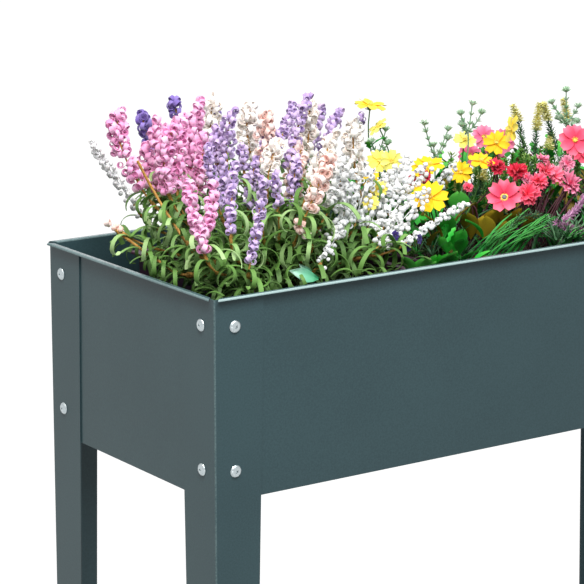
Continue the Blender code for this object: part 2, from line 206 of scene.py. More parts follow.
for node in ("front_panel", "back_panel", "left_end_panel", "right_end_panel"):
    bm = from_cad(node)
    rim = [edge for edge in bm.edges if edge.calc_length() > 0.2
           and min(vert.co.z for vert in edge.verts) > BED_TOP - 1e-4]
    bevel(bm, rim, RIM_FOLD_RADIUS, 4, FRONT_RIM_PAINTED_HIGHLIGHT if node == "front_panel" else RIM_PAINTED_HIGHLIGHT)
    bevel(bm, creased(bm), TRIM_RADIUS, 2)
    finish_piece(node + "_sheet", bm, powder_coat, [node], weighted=True)

# ---- Legs ---------------------------------------------------------------------------------------
# Four folded angles of 1.5 mm sheet, wide under the rim and narrow at the ground, with a short tab
# turned in at the foot. The same powder coat, with a painted highlight as a pale line on the fold.
LEG_FOLD_RADIUS = 0.0018
# painted highlight along the leg's rounded fold
LEG_PAINTED_HIGHLIGHT = 0.26
CORNERS = [(side_y, side_x) for side_y in ("front", "back") for side_x in ("left", "right")]
for side_y, side_x in CORNERS:
    node = f"{side_y}_{side_x}_leg"
    bm = from_cad(node)
    low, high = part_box(node)
    corner = Vector((low.x if side_x == "left" else high.x,
                     low.y if side_y == "front" else high.y))
    fold = [edge for edge in bm.edges if edge.calc_length() > 0.5
            and all((vert.co.xy - corner).length < TRIM_RADIUS for vert in edge.verts)]
    bevel(bm, fold, LEG_FOLD_RADIUS, 6, painted_highlight=LEG_PAINTED_HIGHLIGHT)
    bevel(bm, creased(bm), TRIM_RADIUS, 2)
    finish_piece(node + "_angle", bm, powder_coat, [node], weighted=True)

# ---- Floor panel --------------------------------------------------------------------------------
# A flat sheet of the same coated steel with punched drain holes. It isn't fixed: it drops in from
# above and lies on the four panels' ledges.
finish_piece("floor_panel_sheet", from_cad("floor_panel"), powder_coat,
             ["floor_panel"])

# ---- Bolts --------------------------------------------------------------------------------------
# Sixteen M6 bolts hold the legs to the panels: low truss heads with a cross recess outside, hexagon
# nuts inside. Steel, turned and bright zinc plated, so they shine a little bluer than the paint.
HEAD_RADIUS = 0.0080
HEAD_HEIGHT = 0.0034
HEAD_CURVE = ((0, 1), (0.30, 0.98), (0.58, 0.88), (0.80, 0.66), (0.94, 0.36), (1, 0.12),
              (0.99, 0), (0, 0))     # shares of the radius and the height, from the top down
RECESS_WIDTH = 0.0016
RECESS_SPAN = 0.0064
RECESS_TAPER = 0.45
SHANK_RADIUS = 0.0029
SHANK_END = (0.0024, 0.0006)         # radius of the shank's very end, and length of its chamfer
NUT_ACROSS_CORNERS = 0.0110
NUT_HEIGHT = 0.0050
NUT_FROM_END = 0.0040                # the shank's end to the middle of the nut

# Bright zinc plate over a turned head: a bluish shine, slightly clouded in spots 1.1 mm wide
zinc, tree, shader = start_material("bright_zinc_plate", Metallic=1.0)
place = add_node(tree, "TexCoord").outputs["Object"]
bloom = add_node(tree, "TexNoise", {"Vector": place, "Scale": 900.0}).outputs["Fac"]
shine = add_node(tree, "MapRange", {"Value": bloom, "To Min": 0.22, "To Max": 0.36})
tree.links.new(shine.outputs["Result"], shader.inputs["Roughness"])
paint(tree, shader, bloom, ((0.35, "aeb9bd"), (0.65, "c9d2d4")), bloom, 0.10, 0.0002)


def turned(profile, steps):
    """Spin a profile of (radius, height) pairs about Z into a closed solid."""
    bm = bmesh.new()
    line = [bm.verts.new((radius, 0, height)) for radius, height in profile]
    edges = [bm.edges.new(pair) for pair in zip(line, line[1:])]
    bmesh.ops.spin(bm, geom=line + edges, cent=(0, 0, 0), axis=(0, 0, 1), angle=math.tau,
                   steps=steps, use_merge=True)
    bmesh.ops.remove_doubles(bm, verts=bm.verts, dist=1e-6)
    bmesh.ops.recalc_face_normals(bm, faces=bm.faces)
    return bm


def spin(angle, axis):
    return Matrix.Rotation(angle, 4, axis)


def facing(point, direction, roll=0.0, size=1.0):
    """A matrix that puts a shape's foot on a point and turns its +Z to a direction."""
    turn = Vector(direction).to_track_quat("Z", "Y").to_matrix().to_4x4()
    return Matrix.Translation(point) @ turn @ spin(roll, "Z") @ Matrix.Scale(size, 4)


def cut_away(bm, tool):
    """Take one closed shape out of another by an exact Boolean, and return the result."""
    shapes = [add_object("boolean_part", keep_mesh("boolean_part", part)) for part in (bm, tool)]
    boolean = shapes[0].modifiers.new("cut", "BOOLEAN")
    boolean.operation = "DIFFERENCE"
    boolean.solver = "EXACT"
    boolean.object = shapes[1]
    boolean.use_self = True
    result = bmesh.new()
    result.from_object(shapes[0], bpy.context.evaluated_depsgraph_get())
    for shape in shapes:
        bpy.data.objects.remove(shape)
    return result


dome = turned([(across * HEAD_RADIUS, up * HEAD_HEIGHT) for across, up in HEAD_CURVE], 28)
cross = bmesh.new()
for turn in (0, math.pi / 2):
    bmesh.ops.create_cube(cross, size=1, matrix=Matrix.Translation((0, 0, HEAD_HEIGHT))
                          @ spin(turn, "Z")
                          @ Matrix.Diagonal((RECESS_SPAN, RECESS_WIDTH, HEAD_HEIGHT, 1)))
for vert in cross.verts:
    if vert.co.z < HEAD_HEIGHT:
        vert.co.xy *= RECESS_TAPER
head_shape = keep_mesh("bolt_head_shape", cut_away(dome, cross))


def make_bolt(node, outward):
    """A head seated on the leg, and the shank and its nut on the inside."""
    low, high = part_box(node)
    middle = (low + high) / 2
    reach = abs((high - low).dot(outward)) / 2
    seat = middle + outward * (reach - HEAD_HEIGHT)
    tail = middle - outward * reach
    roll = (middle.x * 37 + middle.z * 91) % 1.5            # every head stops at another angle
    bm = bmesh.new()
    bm.from_mesh(head_shape)
    bmesh.ops.transform(bm, matrix=facing(seat, outward, roll), verts=bm.verts)
    length = (seat - tail).length
    end_radius, chamfer = SHANK_END
    shank = turned([(0, 0), (end_radius, 0), (SHANK_RADIUS, chamfer), (SHANK_RADIUS, length),
                    (0, length)], 14)
    bmesh.ops.transform(shank, matrix=facing(tail, outward), verts=shank.verts)
    nut = bmesh.new()
    bmesh.ops.create_cone(nut, cap_ends=True, segments=6, radius1=NUT_ACROSS_CORNERS / 2,
                          radius2=NUT_ACROSS_CORNERS / 2, depth=NUT_HEIGHT,
                          matrix=facing(tail + outward * NUT_FROM_END, outward, roll))
    bevel(nut, creased(nut), 0.0004, 2)
    for extra in (shank, nut):
        part = keep_mesh("bolt_part", extra)
        bm.from_mesh(part)
        bpy.data.meshes.remove(part)
    finish_piece(node + "_fastener", bm, zinc, [node], smooth=35)


SIGNS = {"front": -1, "back": 1, "left": -1, "right": 1}
for side_y, side_x in CORNERS:
    for face, outward in (("side", Vector((0, SIGNS[side_y], 0))),
                          ("end", Vector((SIGNS[side_x], 0, 0)))):
        for level in ("upper", "lower"):
            make_bolt(f"{side_y}_{side_x}_{face}_bolt_{level}", outward)

# ---- Planting pots ------------------------------------------------------------------------------
# Three plum-coloured window-box pots with a turned-out rim. Injection moulded from polypropylene,
# so the corners are soft and the satin surface has a fine moulded grain.
POT_EDGE_RADIUS = 0.0012
POTS = ("left", "middle", "right")
# moulded polypropylene: an even satin colour over a grain 2 mm wide, coarse enough to show
plum_plastic, tree, shader = start_material("plum_polypropylene", Roughness=0.42)
place = add_node(tree, "TexCoord").outputs["Object"]
cloud = add_node(tree, "TexNoise", {"Vector": place, "Scale": 14.0}).outputs["Fac"]
grain = add_node(tree, "TexNoise", {"Vector": place, "Scale": 500.0}).outputs["Fac"]
paint(tree, shader, cloud, ((0.35, "4e2c45"), (0.65, "5d3752")), grain, 0.2, 0.0003)
for side in POTS:
    bm = from_cad(side + "_pot")
    bevel(bm, creased(bm, least_angle=0.5), POT_EDGE_RADIUS, 3)
    finish_piece(side + "_pot_moulding", bm, plum_plastic, [side + "_pot"],
                 weighted=True)

# ---- Compost ------------------------------------------------------------------------------------
# Dark, crumbly peat compost that fills each pot, pressed level by hand and left a little uneven on
# top. It only shows between the leaves, and holds every wire's foot.
FLAT_MARGIN = 0.012                  # the compost stays level this near to the pot's wall
# moist peat: no shine at all, dark and light crumbs about 4 mm wide
compost, tree, shader = start_material("peat_compost", Roughness=0.95)
place = add_node(tree, "TexCoord").outputs["Object"]
cloud = add_node(tree, "TexNoise", {"Vector": place, "Scale": 60.0, "Detail": 4.0}).outputs["Fac"]
crumb = add_node(tree, "TexVoronoi", {"Vector": place, "Scale": 260.0}).outputs["Distance"]
paint(tree, shader, cloud, ((0.35, "17100b"), (0.65, "33241a")), crumb, 0.8, 0.002)
for side in POTS:
    low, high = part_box(side + "_compost")
    bm = from_cad(side + "_compost")
    top = [face for face in bm.faces if face.normal.z > 0.9]
    bmesh.ops.inset_region(bm, faces=top, thickness=0.006)
    bmesh.ops.subdivide_edges(bm, edges=list({edge for face in top for edge in face.edges}),
                              cuts=22, use_grid_fill=True)
    for vert in bm.verts:
        margin = min(vert.co.x - low.x, high.x - vert.co.x, vert.co.y - low.y, high.y - vert.co.y)
        if vert.co.z > high.z - 1e-4 and margin > FLAT_MARGIN:     # 18 mm hollows, 5 mm crumbs
            vert.co.z += 0.007 * noise.noise(vert.co * 55) + 0.003 * noise.noise(vert.co * 190)
    finish_piece(side + "_compost_fill", bm, compost, [side + "_compost"])

# ---- Foam flower wands --------------------------------------------------------------------------
# Each wand is a taped wire with whorls of florets, every floret a 5 mm strip of EVA foam glued on
# by one end and rolled up at the other, so that it shows its band in front and its coil at the side.
MM = 0.001
COMPOST_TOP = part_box("left_compost")[1].z
POT_REACH = 0.42                     # a stem stands this share of its lean from the pot's middle
WHORL_PITCH = 7.6                    # in mm, along a wand
TAPER_START = 0.6                    # above this share of its length a wand narrows
TIP_NARROWING = 0.35                 # and by this share at its tip
FOOT_WIDTH = 0.7                     # of a floret's strip, where it is glued on


def foam(name, dark, light, sheen=0.2):
    """Dyed EVA foam: matt and soft-looking, each floret cut from a slightly different sheet.
    Its cells are drawn 1.4 mm wide, coarser than real ones so that they show."""
    material, tree, shader = start_material(name, Roughness=0.75, Specular_IOR_Level=0.3,
                                            Sheen_Weight=sheen, Sheen_Roughness=0.5)
    place = add_node(tree, "TexCoord").outputs["Object"]
    cell = add_node(tree, "TexNoise", {"Vector": place, "Scale": 700.0}).outputs["Fac"]
    tint = add_node(tree, "Attribute", attribute_name="tint").outputs["Fac"]
    up = add_node(tree, "Attribute", attribute_name="up").outputs["Fac"]
    # painted shade: a strip is drawn darker towards its inner end, where it rolls in, and a bud
    # towards its top, where its mouth is
    painted_shade_inward = add_node(tree, "Math", {0: 1.0, 1: up}, operation="SUBTRACT").outputs[0]
    mixed = add_node(tree, "Mix", {"Factor": 0.18, "A": tint, "B": cell}, data_type="FLOAT")
    shaded = add_node(tree, "Mix", {"Factor": 0.4, "A": mixed.outputs["Result"], "B": painted_shade_inward},
                      data_type="FLOAT")
    paint(tree, shader, shaded.outputs["Result"], ((0.1, dark), (0.9, light)), cell, 0.25, 0.0003)
    return material


foams = {colour: foam(colour + "_eva_foam", dark, light) for colour, dark, light in (
    ("pink", "ea86c2", "ffcdec"), ("lavender", "a184c2", "e2ccf0"), ("violet", "6247a4", "9a86cc"),
    ("cream", "ffeee2", "fffefa"), ("peach", "fac6b8", "fff0ea"), ("white", "e6e8ea", "fafaf8"))}


def at(point):
    """A place given in millimetres."""
    return Vector([value / 1000 for value in point])


def lift(height):
    return Matrix.Translation((0, 0, height * MM))


def new_planting():
    """An empty bmesh with the two values that the soft materials read."""
    bm = bmesh.new()
    bm.verts.layers.float.new("up")
    bm.verts.layers.float.new("tint")
    return bm


def keep_template(bm):
    """Keep a bmesh as a template mesh, of which a piece takes many copies."""
    bmesh.ops.recalc_face_normals(bm, faces=bm.faces)
    return keep_mesh("template", bm)


def sweep(bm, face, poses):
    """Extrude a face from pose to pose, starting where it lies; both ends stay closed."""
    last = Matrix.Identity(4)
    for index, pose in enumerate(poses):
        grown = bmesh.ops.extrude_face_region(bm, geom=[face])["geom"]
        if index:
            bmesh.ops.delete(bm, geom=[face], context="FACES_ONLY")
        face = next(item for item in grown if isinstance(item, bmesh.types.BMFace))
        bmesh.ops.transform(bm, matrix=pose @ last.inverted(), verts=face.verts)
        last = pose


def strip(width, thickness, poses):
    """A foam strip from pose to pose; its points store how far along they are. Sizes in mm."""
    bm = new_planting()
    up = bm.verts.layers.float["up"]
    end = bmesh.ops.create_grid(bm, x_segments=1, y_segments=1, size=0.5,
                                matrix=Matrix.Diagonal((width * MM, thickness * MM, 1, 1)))
    sweep(bm, end["verts"][0].link_faces[0], poses)
    for index, vert in enumerate(bm.verts):
        vert[up] = (index // 4) / len(poses)
    return keep_template(bm)


def curl(width, neck, radius, inner, turns, steps, wall):
    """A strip with a narrow foot that runs out by `neck` and rolls up towards +Y; sizes in mm."""
    pose = lift(neck) @ Matrix.Diagonal((1 / FOOT_WIDTH, 1, 1, 1))
    poses = [pose.copy()]
    turn = turns * math.tau / steps
    for step in range(steps):
        bend = radius + (inner - radius) * step / steps
        pose = pose @ spin(-turn, "X") @ lift(bend * turn)
        poses.append(pose.copy())
    return strip(width * FOOT_WIDTH, wall, poses)


def add_copy(bm, shape, matrix, tint):
    """Add one copy of a template to a growing piece, with a tint of its own."""
    copy = shape.copy()
    copy.transform(matrix)
    copy.attributes["tint"].data.foreach_set("value", [tint] * len(copy.vertices))
    bm.from_mesh(copy)
    bpy.data.meshes.remove(copy)


tight_curl = curl(5.6, 5.5, 4.6, 2.2, 1.45, 13, 1.0)
loose_curl = curl(5.2, 5.5, 4.8, 3.4, 1.05, 10, 1.0)
small_curl = curl(4.8, 4.0, 3.8, 1.8, 1.35, 12, 0.9)
small_hook = curl(5.4, 5.0, 4.0, 3.2, 0.8, 8, 0.9)
long_curl = curl(5.2, 8.0, 4.6, 2.4, 1.35, 12, 0.9)


def along(points, share):
    """A point on the smooth curve that starts, passes its middle point and ends as given."""
    start, middle, end = points
    control = 2 * middle - (start + end) / 2
    return start * (1 - share) ** 2 + 2 * control * share * (1 - share) + end * share ** 2


def slope(points, share):
    return (along(points, min(1, share + 0.05)) - along(points, max(0, share - 0.05))).normalized()


def wand_line(name, tip, middle, low):
    """A wand's lower end, middle and tip; without a tip it ends where its CAD stem is highest."""
    if tip:
        return at(low), at(middle), at(tip)
    stem = frame["nodes"][name].data.vertices
    return at(low), at(middle), max((vert.co for vert in stem), key=lambda co: co.z).copy()


def flower_wand(rng, bm, points, shapes, width, crowd, pitch, reach=10.0, size=1.0, foot=1.0):
    """Whorls of florets round a wire; width is the whorls' radius in mm, pitch their spacing.
    They narrow towards the tip, or for a `foot` below 1 to that share at the lower end."""
    length = sum((along(points, (i + 1) / 8) - along(points, i / 8)).length for i in range(8))
    whorls = max(2, round(length / (pitch * MM)))
    for whorl in range(whorls + 1):
        share = whorl / whorls
        centre = along(points, share)
        ahead = slope(points, share)
        narrow = 1 - TIP_NARROWING * max(0, (share - TAPER_START) / (1 - TAPER_START)) ** 1.3
        if foot < 1:
            narrow = foot + (1 - foot) * share
        count = max(2, round(crowd * narrow))
        side = ahead.orthogonal().normalized()
        start = rng.uniform(0, math.tau)
        for index in range(count):
            angle = start + (index + rng.uniform(-0.25, 0.25)) * math.tau / count
            out = Matrix.Rotation(angle, 3, ahead) @ side
            rise = rng.uniform(-0.15, 0.45) + 0.8 * max(0, share - 0.85) / 0.15
            askew = ahead.cross(out) * rng.uniform(-1.1, 1.1)
            direction = (out + ahead * rise + askew).normalized()
            start_at = (centre + out * max(0.5, width * narrow - reach) * MM * rng.uniform(0.5, 1.35)
                        + ahead * rng.uniform(-0.4, 0.4) * pitch * MM)
            add_copy(bm, rng.choice(shapes), facing(start_at, direction, rng.uniform(-0.7, 0.7),
                                                    size * rng.uniform(0.85, 1.12)), rng.random())


def stem_under(low, pot):
    """Where a flower's wire enters the compost."""
    centre = (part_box(pot + "_pot")[0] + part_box(pot + "_pot")[1]) / 2
    foot = centre + (low - centre) * POT_REACH
    foot.z = COMPOST_TOP - 0.010
    return foot


pink_curls = [tight_curl, tight_curl, tight_curl, loose_curl]
small_curls = [small_curl, small_curl, small_curl, small_hook]
long_curls = [long_curl, long_curl, tight_curl]
CURLS = {"pink": pink_curls, "violet": pink_curls, "lavender": small_curls, "cream": long_curls,
         "peach": long_curls, "white": long_curls}
WANDS = (
    # name, pot, tip (None: its CAD stem's), middle, lower end, radius of the whorls, all in mm
    ("pink_wand_outer", "left", None, (-480, 50, 955), (-460, 30, 895), 15),
    ("pink_wand_upper", "left", (-370, 30, 997), (-382, 30, 940), (-395, 20, 885), 13),
    ("pink_wand_left", "left", None, (-450, -10, 940), (-445, -10, 895), 14),
    ("pink_wand_middle", "left", (-400, 20, 980), (-415, 10, 940), (-425, 0, 895), 12),
    ("pink_wand_slim", "left", (-435, 30, 980), (-438, 30, 955), (-430, 30, 915), 8),
    ("pink_wand_inner", "left", (-440, 50, 945), (-435, 50, 915), (-430, 40, 885), 12),
    ("pink_wand_right", "left", (-385, 0, 958), (-388, 0, 925), (-395, 0, 885), 12),
    ("pink_wand_front", "left", (-480, -115, 925), (-482, -128, 890), (-476, -140, 845), 11),
    ("violet_sprig_left", "left", None, (-395, 120, 940), (-388, 120, 905), 14),
    ("violet_sprig_back", "left", (-365, 100, 988), (-360, 100, 965), (-350, 100, 925), 9),
    ("violet_sprig_middle", "left", (-300, 100, 975), (-302, 100, 962), (-304, 100, 945), 8),
    ("cream_wand_left", "left", (-318, 80, 990), (-322, 80, 960), (-325, 70, 925), 14),
    ("cream_wand_middle", "left", (-280, 50, 980), (-285, 50, 950), (-275, 50, 905), 13),
    ("cream_wand_inner", "left", (-220, 0, 985), (-220, 0, 955), (-225, 0, 915), 12),
    ("cream_wand_front", "left", (-295, -40, 945), (-312, -45, 925), (-320, -50, 890), 13),
    ("cream_wand_right", "left", None, (-255, -85, 935), (-275, -85, 900), 12),
    ("peach_wand", "left", None, (-290, 0, 945), (-295, 0, 910), 13),
    ("peach_wand_front", "left", (-265, -110, 935), (-285, -118, 910), (-305, -120, 875), 13),
    ("lavender_wand_large", "left", None, (-372, -35, 960), (-370, -35, 915), 16),
    ("lavender_wand_left", "left", (-430, -80, 960), (-425, -80, 925), (-415, -80, 885), 12),
    ("lavender_wand_front", "left", None, (-425, -125, 900), (-430, -130, 860), 11),
    ("lavender_wand_low", "left", (-400, -150, 895), (-405, -150, 860), (-415, -152, 825), 11),
    ("lavender_wand_inner", "left", (-340, -20, 945), (-338, -20, 930), (-335, -20, 900), 12),
    ("lavender_wand_short", "left", (-355, -90, 915), (-355, -90, 900), (-355, -90, 870), 11),
    ("lavender_wand_mid", "left", None, (-240, 30, 945), (-285, 20, 900), 14),
    ("lavender_wand_tall", "left", None, (-262, -35, 965), (-275, -35, 910), 13),
    ("lavender_wand_near", "left", (-280, -60, 930), (-285, -60, 905), (-290, -60, 870), 13),
    ("lavender_wand_back", "left", (-165, 50, 970), (-175, 50, 940), (-195, 40, 900), 13),
    ("lavender_wand_right", "middle", (-125, 60, 960), (-140, 60, 935), (-165, 50, 900), 13),
    ("lavender_wand_behind", "middle", (-40, 130, 936), (-45, 130, 920), (-53, 130, 895), 10),
    ("lavender_wand_far", "right", None, (375, 15, 935), (365, 10, 895), 14),
    ("white_wand", "middle", None, (-125, 35, 920), (-140, 30, 890), 12),
    ("white_wand_far", "right", None, (445, 65, 925), (430, 55, 885), 12),
    ("pink_wand_near", "left", (-435, -100, 915), (-445, -110, 885), (-460, -120, 858), 11),
    ("pink_wand_back", "left", (-405, 60, 960), (-412, 55, 925), (-420, 45, 885), 12),
    ("lavender_wand_one", "left", (-395, -60, 935), (-390, -60, 900), (-395, -70, 868), 13),
    ("lavender_wand_two", "left", (-280, 0, 958), (-290, 0, 930), (-296, 0, 900), 14),
    ("lavender_wand_three", "left", (-330, -80, 915), (-328, -80, 895), (-325, -80, 875), 11),
    ("lavender_wand_four", "left", (-366, 0, 966), (-366, 0, 940), (-360, 0, 905), 14),
    ("lavender_wand_five", "left", (-165, 30, 918), (-170, 30, 890), (-190, 20, 860), 12),
    ("lavender_wand_six", "left", (-325, -30, 928), (-330, -30, 900), (-335, -30, 868), 13),
    ("peach_wand_low", "left", (-260, -40, 938), (-270, -40, 905), (-275, -40, 872), 14),
    ("peach_sprig_front", "left", (-325, -120, 858), (-315, -120, 850), (-305, -120, 838), 8),
    ("cream_wand_loops", "middle", (-172, -30, 960), (-170, -30, 930), (-165, -30, 885), 14),
    ("white_wand_low", "left", (-205, -60, 912), (-215, -60, 885), (-235, -70, 862), 13),
)
stems = []          # (points of the wire from its foot to the flower's tip, radius in mm)
for index, (name, pot, tip, middle, low, width) in enumerate(WANDS):
    points = low, middle, tip = wand_line(name, tip, middle, low)
    colour = name.split("_")[0]
    shapes = small_curls if "sprig" in name and width < 9 else CURLS[colour]
    spreading = colour == "violet"                          # these widen upwards
    crowd = 5 if width > 12 and not spreading else 4 if width > 9 else 3
    bm = new_planting()
    flower_wand(random.Random(100 + index), bm, (low, middle, tip - slope(points, 1) * 4 * MM),
                shapes, width, crowd, WHORL_PITCH, size=0.98 if shapes is small_curls else 1.06,
                foot=0.4 if spreading else 1.0)
    finish_piece(name + "_florets", bm, foams[colour], [name], smooth=70)
    stems.append(([stem_under(low, pot), *points], 1.2))

# ---- Bud wands ----------------------------------------------------------------------------------
# White wands of round foam buds on hair-thin stalks round a taped wire, leaning out to the right,
# and one thin faded spray at the left. Each bud is a foam ball pressed shut, with a folded mouth.
BUD_PITCH = 7.0                      # in mm
BUD_DIMPLE = 0.35                    # the depth of its mouth, as a share of its radius
BUD_PRESS = 0.22                     # how far the mouth is pressed from round to oval


def foam_bud(radius):
    """A pressed ball with a dimple at its mouth; its radius in mm."""
    bm = new_planting()
    up = bm.verts.layers.float["up"]
    reach = 2 * radius * MM
    bmesh.ops.create_uvsphere(bm, u_segments=8, v_segments=6, radius=radius * MM,
                              matrix=lift(radius))
    for vert in bm.verts:
        height = vert.co.z / reach
        if height > 0.95:
            vert.co.z -= radius * BUD_DIMPLE * MM
        around = math.atan2(vert.co.y, vert.co.x)
        vert.co.xy *= 1 + BUD_PRESS * math.sin(2 * around) * height
        vert[up] = min(1, max(0, vert.co.z / reach))
    return keep_template(bm)


round_bud = foam_bud(3.3)
bud_curl = curl(6.0, 2.0, 3.2, 2.0, 1.2, 10, 1.2)
bud_foam = foam("bud_eva_foam", "dcdfe2", "f6f6f5")
BUD_FOAMS = {"white": bud_foam, "faded": foam("faded_eva_foam", "fbfcfc", "ffffff", 1.0),
             "drooping": foams["peach"]}
BUD_WANDS = (
    # as above, and the size of the buds
    ("white_bud_spray", "left", None, (-147, -65, 862), (-180, -75, 825), 15, 1.0),
    ("white_bud_wand_left", "left", (-205, -80, 905), (-220, -85, 860), (-240, -90, 825), 13, 1.0),
    ("white_bud_wand_upper", "left", (-115, -45, 892), (-148, -55, 862), (-180, -65, 830), 13, 1.0),
    ("white_bud_wand_right", "left", (-80, -70, 895), (-128, -80, 860), (-170, -90, 822), 14, 1.0),
    ("white_bud_wand_low", "left", (-105, -105, 872), (-150, -115, 844), (-195, -125, 815), 13, 1.0),
    ("white_bud_wand_front", "left", (-52, -120, 853), (-110, -130, 836), (-170, -140, 815), 7, 0.95),
    ("white_bud_wand_back", "left", (-125, 0, 890), (-138, -10, 870), (-155, -20, 845), 12, 1.0),
    ("white_bud_wand_middle", "left", (-165, -60, 900), (-180, -65, 870), (-200, -75, 835), 14, 1.0),
    ("white_bud_wand_short", "middle", (-2, -30, 882), (-20, -30, 870), (-45, -30, 856), 9, 1.0),
    ("white_bud_wand_rim", "left", (-258, -130, 850), (-278, -135, 830), (-300, -140, 808), 9, 0.9),
    ("faded_bud_spray", "left", (-480, 120, 942), (-450, 120, 900), (-412, 115, 843), 8, 1.0),
    ("drooping_bud_sprig", "left", (-508, 30, 853), (-502, 28, 850), (-495, 25, 844), 4, 1.1),
)
bud_wires = []
for index, (name, pot, tip, middle, low, width, size) in enumerate(BUD_WANDS):
    points = wand_line(name, tip, middle, low)
    bm = new_planting()
    flower_wand(random.Random(200 + index), bm, points, [round_bud, round_bud, bud_curl], width,
                5 if width > 12 else 3, BUD_PITCH, 5.5 * size, size)
    finish_piece(name + "_buds", bm, BUD_FOAMS[name.split("_")[0]], [name],
                 smooth=75)
    bud_wires.append([(along(points, step / 6), 0.7 * MM) for step in range(6)])
    stems.append(([stem_under(points[0], pot), points[0], along(points, 0.05),
                   along(points, 0.10)], 1.3))

# ---- Taped stems --------------------------------------------------------------------------------
# Every flower stands on wire wound with stretched crepe tape. The foam wands' tape is tan and is
# wound in lengths, each thick at its top and drawn out thin below, which leaves a cone at a joint.
JOINT_SPACING = 0.042
JOINT_SWELL = 1.5
STEM_STEPS = 22
BEND_REACH = 0.35                    # how early a wire starts to bend, as a share of its length

# waxed crepe paper tape, stretched as it is wound: dull, with lighter streaks 3 mm wide
tan_tape, tree, shader = start_material("tan_crepe_tape", Roughness=0.7, Specular_IOR_Level=0.3)
place = add_node(tree, "TexCoord").outputs["Object"]
streak = add_node(tree, "TexNoise", {"Vector": place, "Scale": 320.0, "Detail": 3.0}).outputs["Fac"]
paint(tree, shader, streak, ((0.35, "8f6428"), (0.65, "d2a055")), streak, 0.4, 0.0004)


def wire_path(points, steps):
    """A smooth wire: straight up out of the compost, bending to the flower, then up its middle."""
    foot, low, middle, tip = points
    head = (low, middle, tip)
    length = (low - foot).length
    first = foot + Vector((0, 0, BEND_REACH * length))
    second = low - slope(head, 0) * BEND_REACH * length
    path = []
    for step in range(steps):
        t = step / steps
        path.append(foot * (1 - t) ** 3 + first * 3 * t * (1 - t) ** 2
                    + second * 3 * t ** 2 * (1 - t) + low * t ** 3)
    return path + [along(head, share) for share in (0, 0.25, 0.5, 0.75, 0.97)]


def wires(name, paths, material):
    """Many tapered wires as one curve piece; each path is a list of (point, radius in metres)."""
    curve = bpy.data.curves.new(name, "CURVE")
    curve.dimensions = "3D"
    curve.bevel_depth = 1.0
    curve.bevel_resolution = 1
    curve.use_fill_caps = True
    for path in paths:
        spline = curve.splines.new("POLY")
        spline.use_smooth = True
        spline.points.add(len(path) - 1)
        for point, (place, radius) in zip(spline.points, path):
            point.co = (*place, 1)
            point.radius = radius
    curve.materials.append(material)
    ride_bed(add_object(name, curve))


def even_wires(name, rows, steps, material):
    """Wires that keep their thickness; a row holds a wire's four points and its radius in mm."""
    wires(name, [[(point, radius * MM) for point in wire_path(points, steps)]
                 for points, radius in rows], material)


BARE_TWIGS = (
    # foot, lower end, middle, tip: twigs that have lost their florets, and one that droops
    ((-330, -40, 755), (-455, -80, 835), (-460, -20, 880), (-486, 0, 942)),
    ((-340, -30, 755), (-462, -50, 802), (-475, 0, 820), (-508, 30, 852)),
    ((-330, 20, 755), (-400, 50, 860), (-410, 55, 885), (-418, 60, 910)),
)
twigs = [[at(point) for point in twig] for twig in BARE_TWIGS]
stems += [(twig, 1.9) for twig in twigs]
paths = []
for points, radius in stems:
    path = wire_path(points, STEM_STEPS)
    travelled = 0
    taper = []
    for index in reversed(range(len(path))):                # from the flower down
        if index < len(path) - 1:
            travelled += (path[index + 1] - path[index]).length
        drawn_out = (travelled % JOINT_SPACING) / JOINT_SPACING
        swell = 0 if index > STEM_STEPS else JOINT_SWELL * (1 - drawn_out) ** 2
        taper.append((path[index], (radius + swell * radius) * MM))
    paths.append(taper)
wires("tan_taped_stems", paths, tan_tape)
wires("white_bud_stems", bud_wires, bud_foam)

# ---- Ribbon leaves ------------------------------------------------------------------------------
# The foam wands' leaves are strips of green foam 6 mm wide with blunt cut ends, heat-curled into
# arcs and hooks. They sit in tufts on the taped stems and fill the left pot down to the compost.
RIBBON_WIDTH = 5.12                  # at its foot, in mm; a ribbon widens by a quarter above it
RIBBON_THICKNESS = 0.9
RIBBON_STEPS = 12
POT_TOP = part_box("left_pot")[1].z
# painted shade: leaves nearer the compost than this get a darker tint
LEAF_DEPTH = 0.065                   # leaves that stand this far above the compost are the palest
INSIDE_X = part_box("right_end_panel")[1].x - 0.014
INSIDE_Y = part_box("back_panel")[1].y - 0.014
OVER_X, OVER_Y = 0.038, 0.022        # how much further out a leaf may reach above the rim


def leaf_foam(name, shade, mid, light):
    """Green foam or plastic: paler towards its tip and on the leaves that stand higher, with a
    grain drawn 2 mm wide, coarse enough to show."""
    material, tree, shader = start_material(name, Roughness=0.62, Specular_IOR_Level=0.4)
    place = add_node(tree, "TexCoord").outputs["Object"]
    grain = add_node(tree, "TexNoise", {"Vector": place, "Scale": 500.0}).outputs["Fac"]
    tint = add_node(tree, "Attribute", attribute_name="tint").outputs["Fac"]
    up = add_node(tree, "Attribute", attribute_name="up").outputs["Fac"]
    # painted shade: each blade is drawn darker towards its foot, and low-standing leaves by their
    # tint
    painted_foot_shade = add_node(tree, "MapRange", {"Value": up, "To Min": 0.55}).outputs["Result"]
    tone = add_node(tree, "Math", {0: tint, 1: painted_foot_shade}, operation="MULTIPLY").outputs[0]
    mixed = add_node(tree, "Mix", {"Factor": 0.12, "A": tone, "B": grain}, data_type="FLOAT")
    paint(tree, shader, mixed.outputs["Result"], ((0.0, shade), (0.5, mid), (1.0, light)),
          grain, 0.2, 0.0003)
    return material


def ribbon(length, degrees, ease, twist):
    """A strip that starts straight and curls by some degrees, later for a larger `ease`."""
    pose = Matrix.Identity(4)
    poses = []
    turned_by = 0
    for step in range(RIBBON_STEPS):
        turn = math.radians(degrees) * ((step + 1) / RIBBON_STEPS) ** ease
        pose = (pose @ spin(turn - turned_by, "X") @ spin(math.radians(twist) / RIBBON_STEPS, "Z")
                @ lift(length / RIBBON_STEPS) @ Matrix.Diagonal((1.0 if step else 1.25, 1, 1, 1)))
        turned_by = turn
        poses.append(pose)
    return strip(RIBBON_WIDTH, RIBBON_THICKNESS, poses)
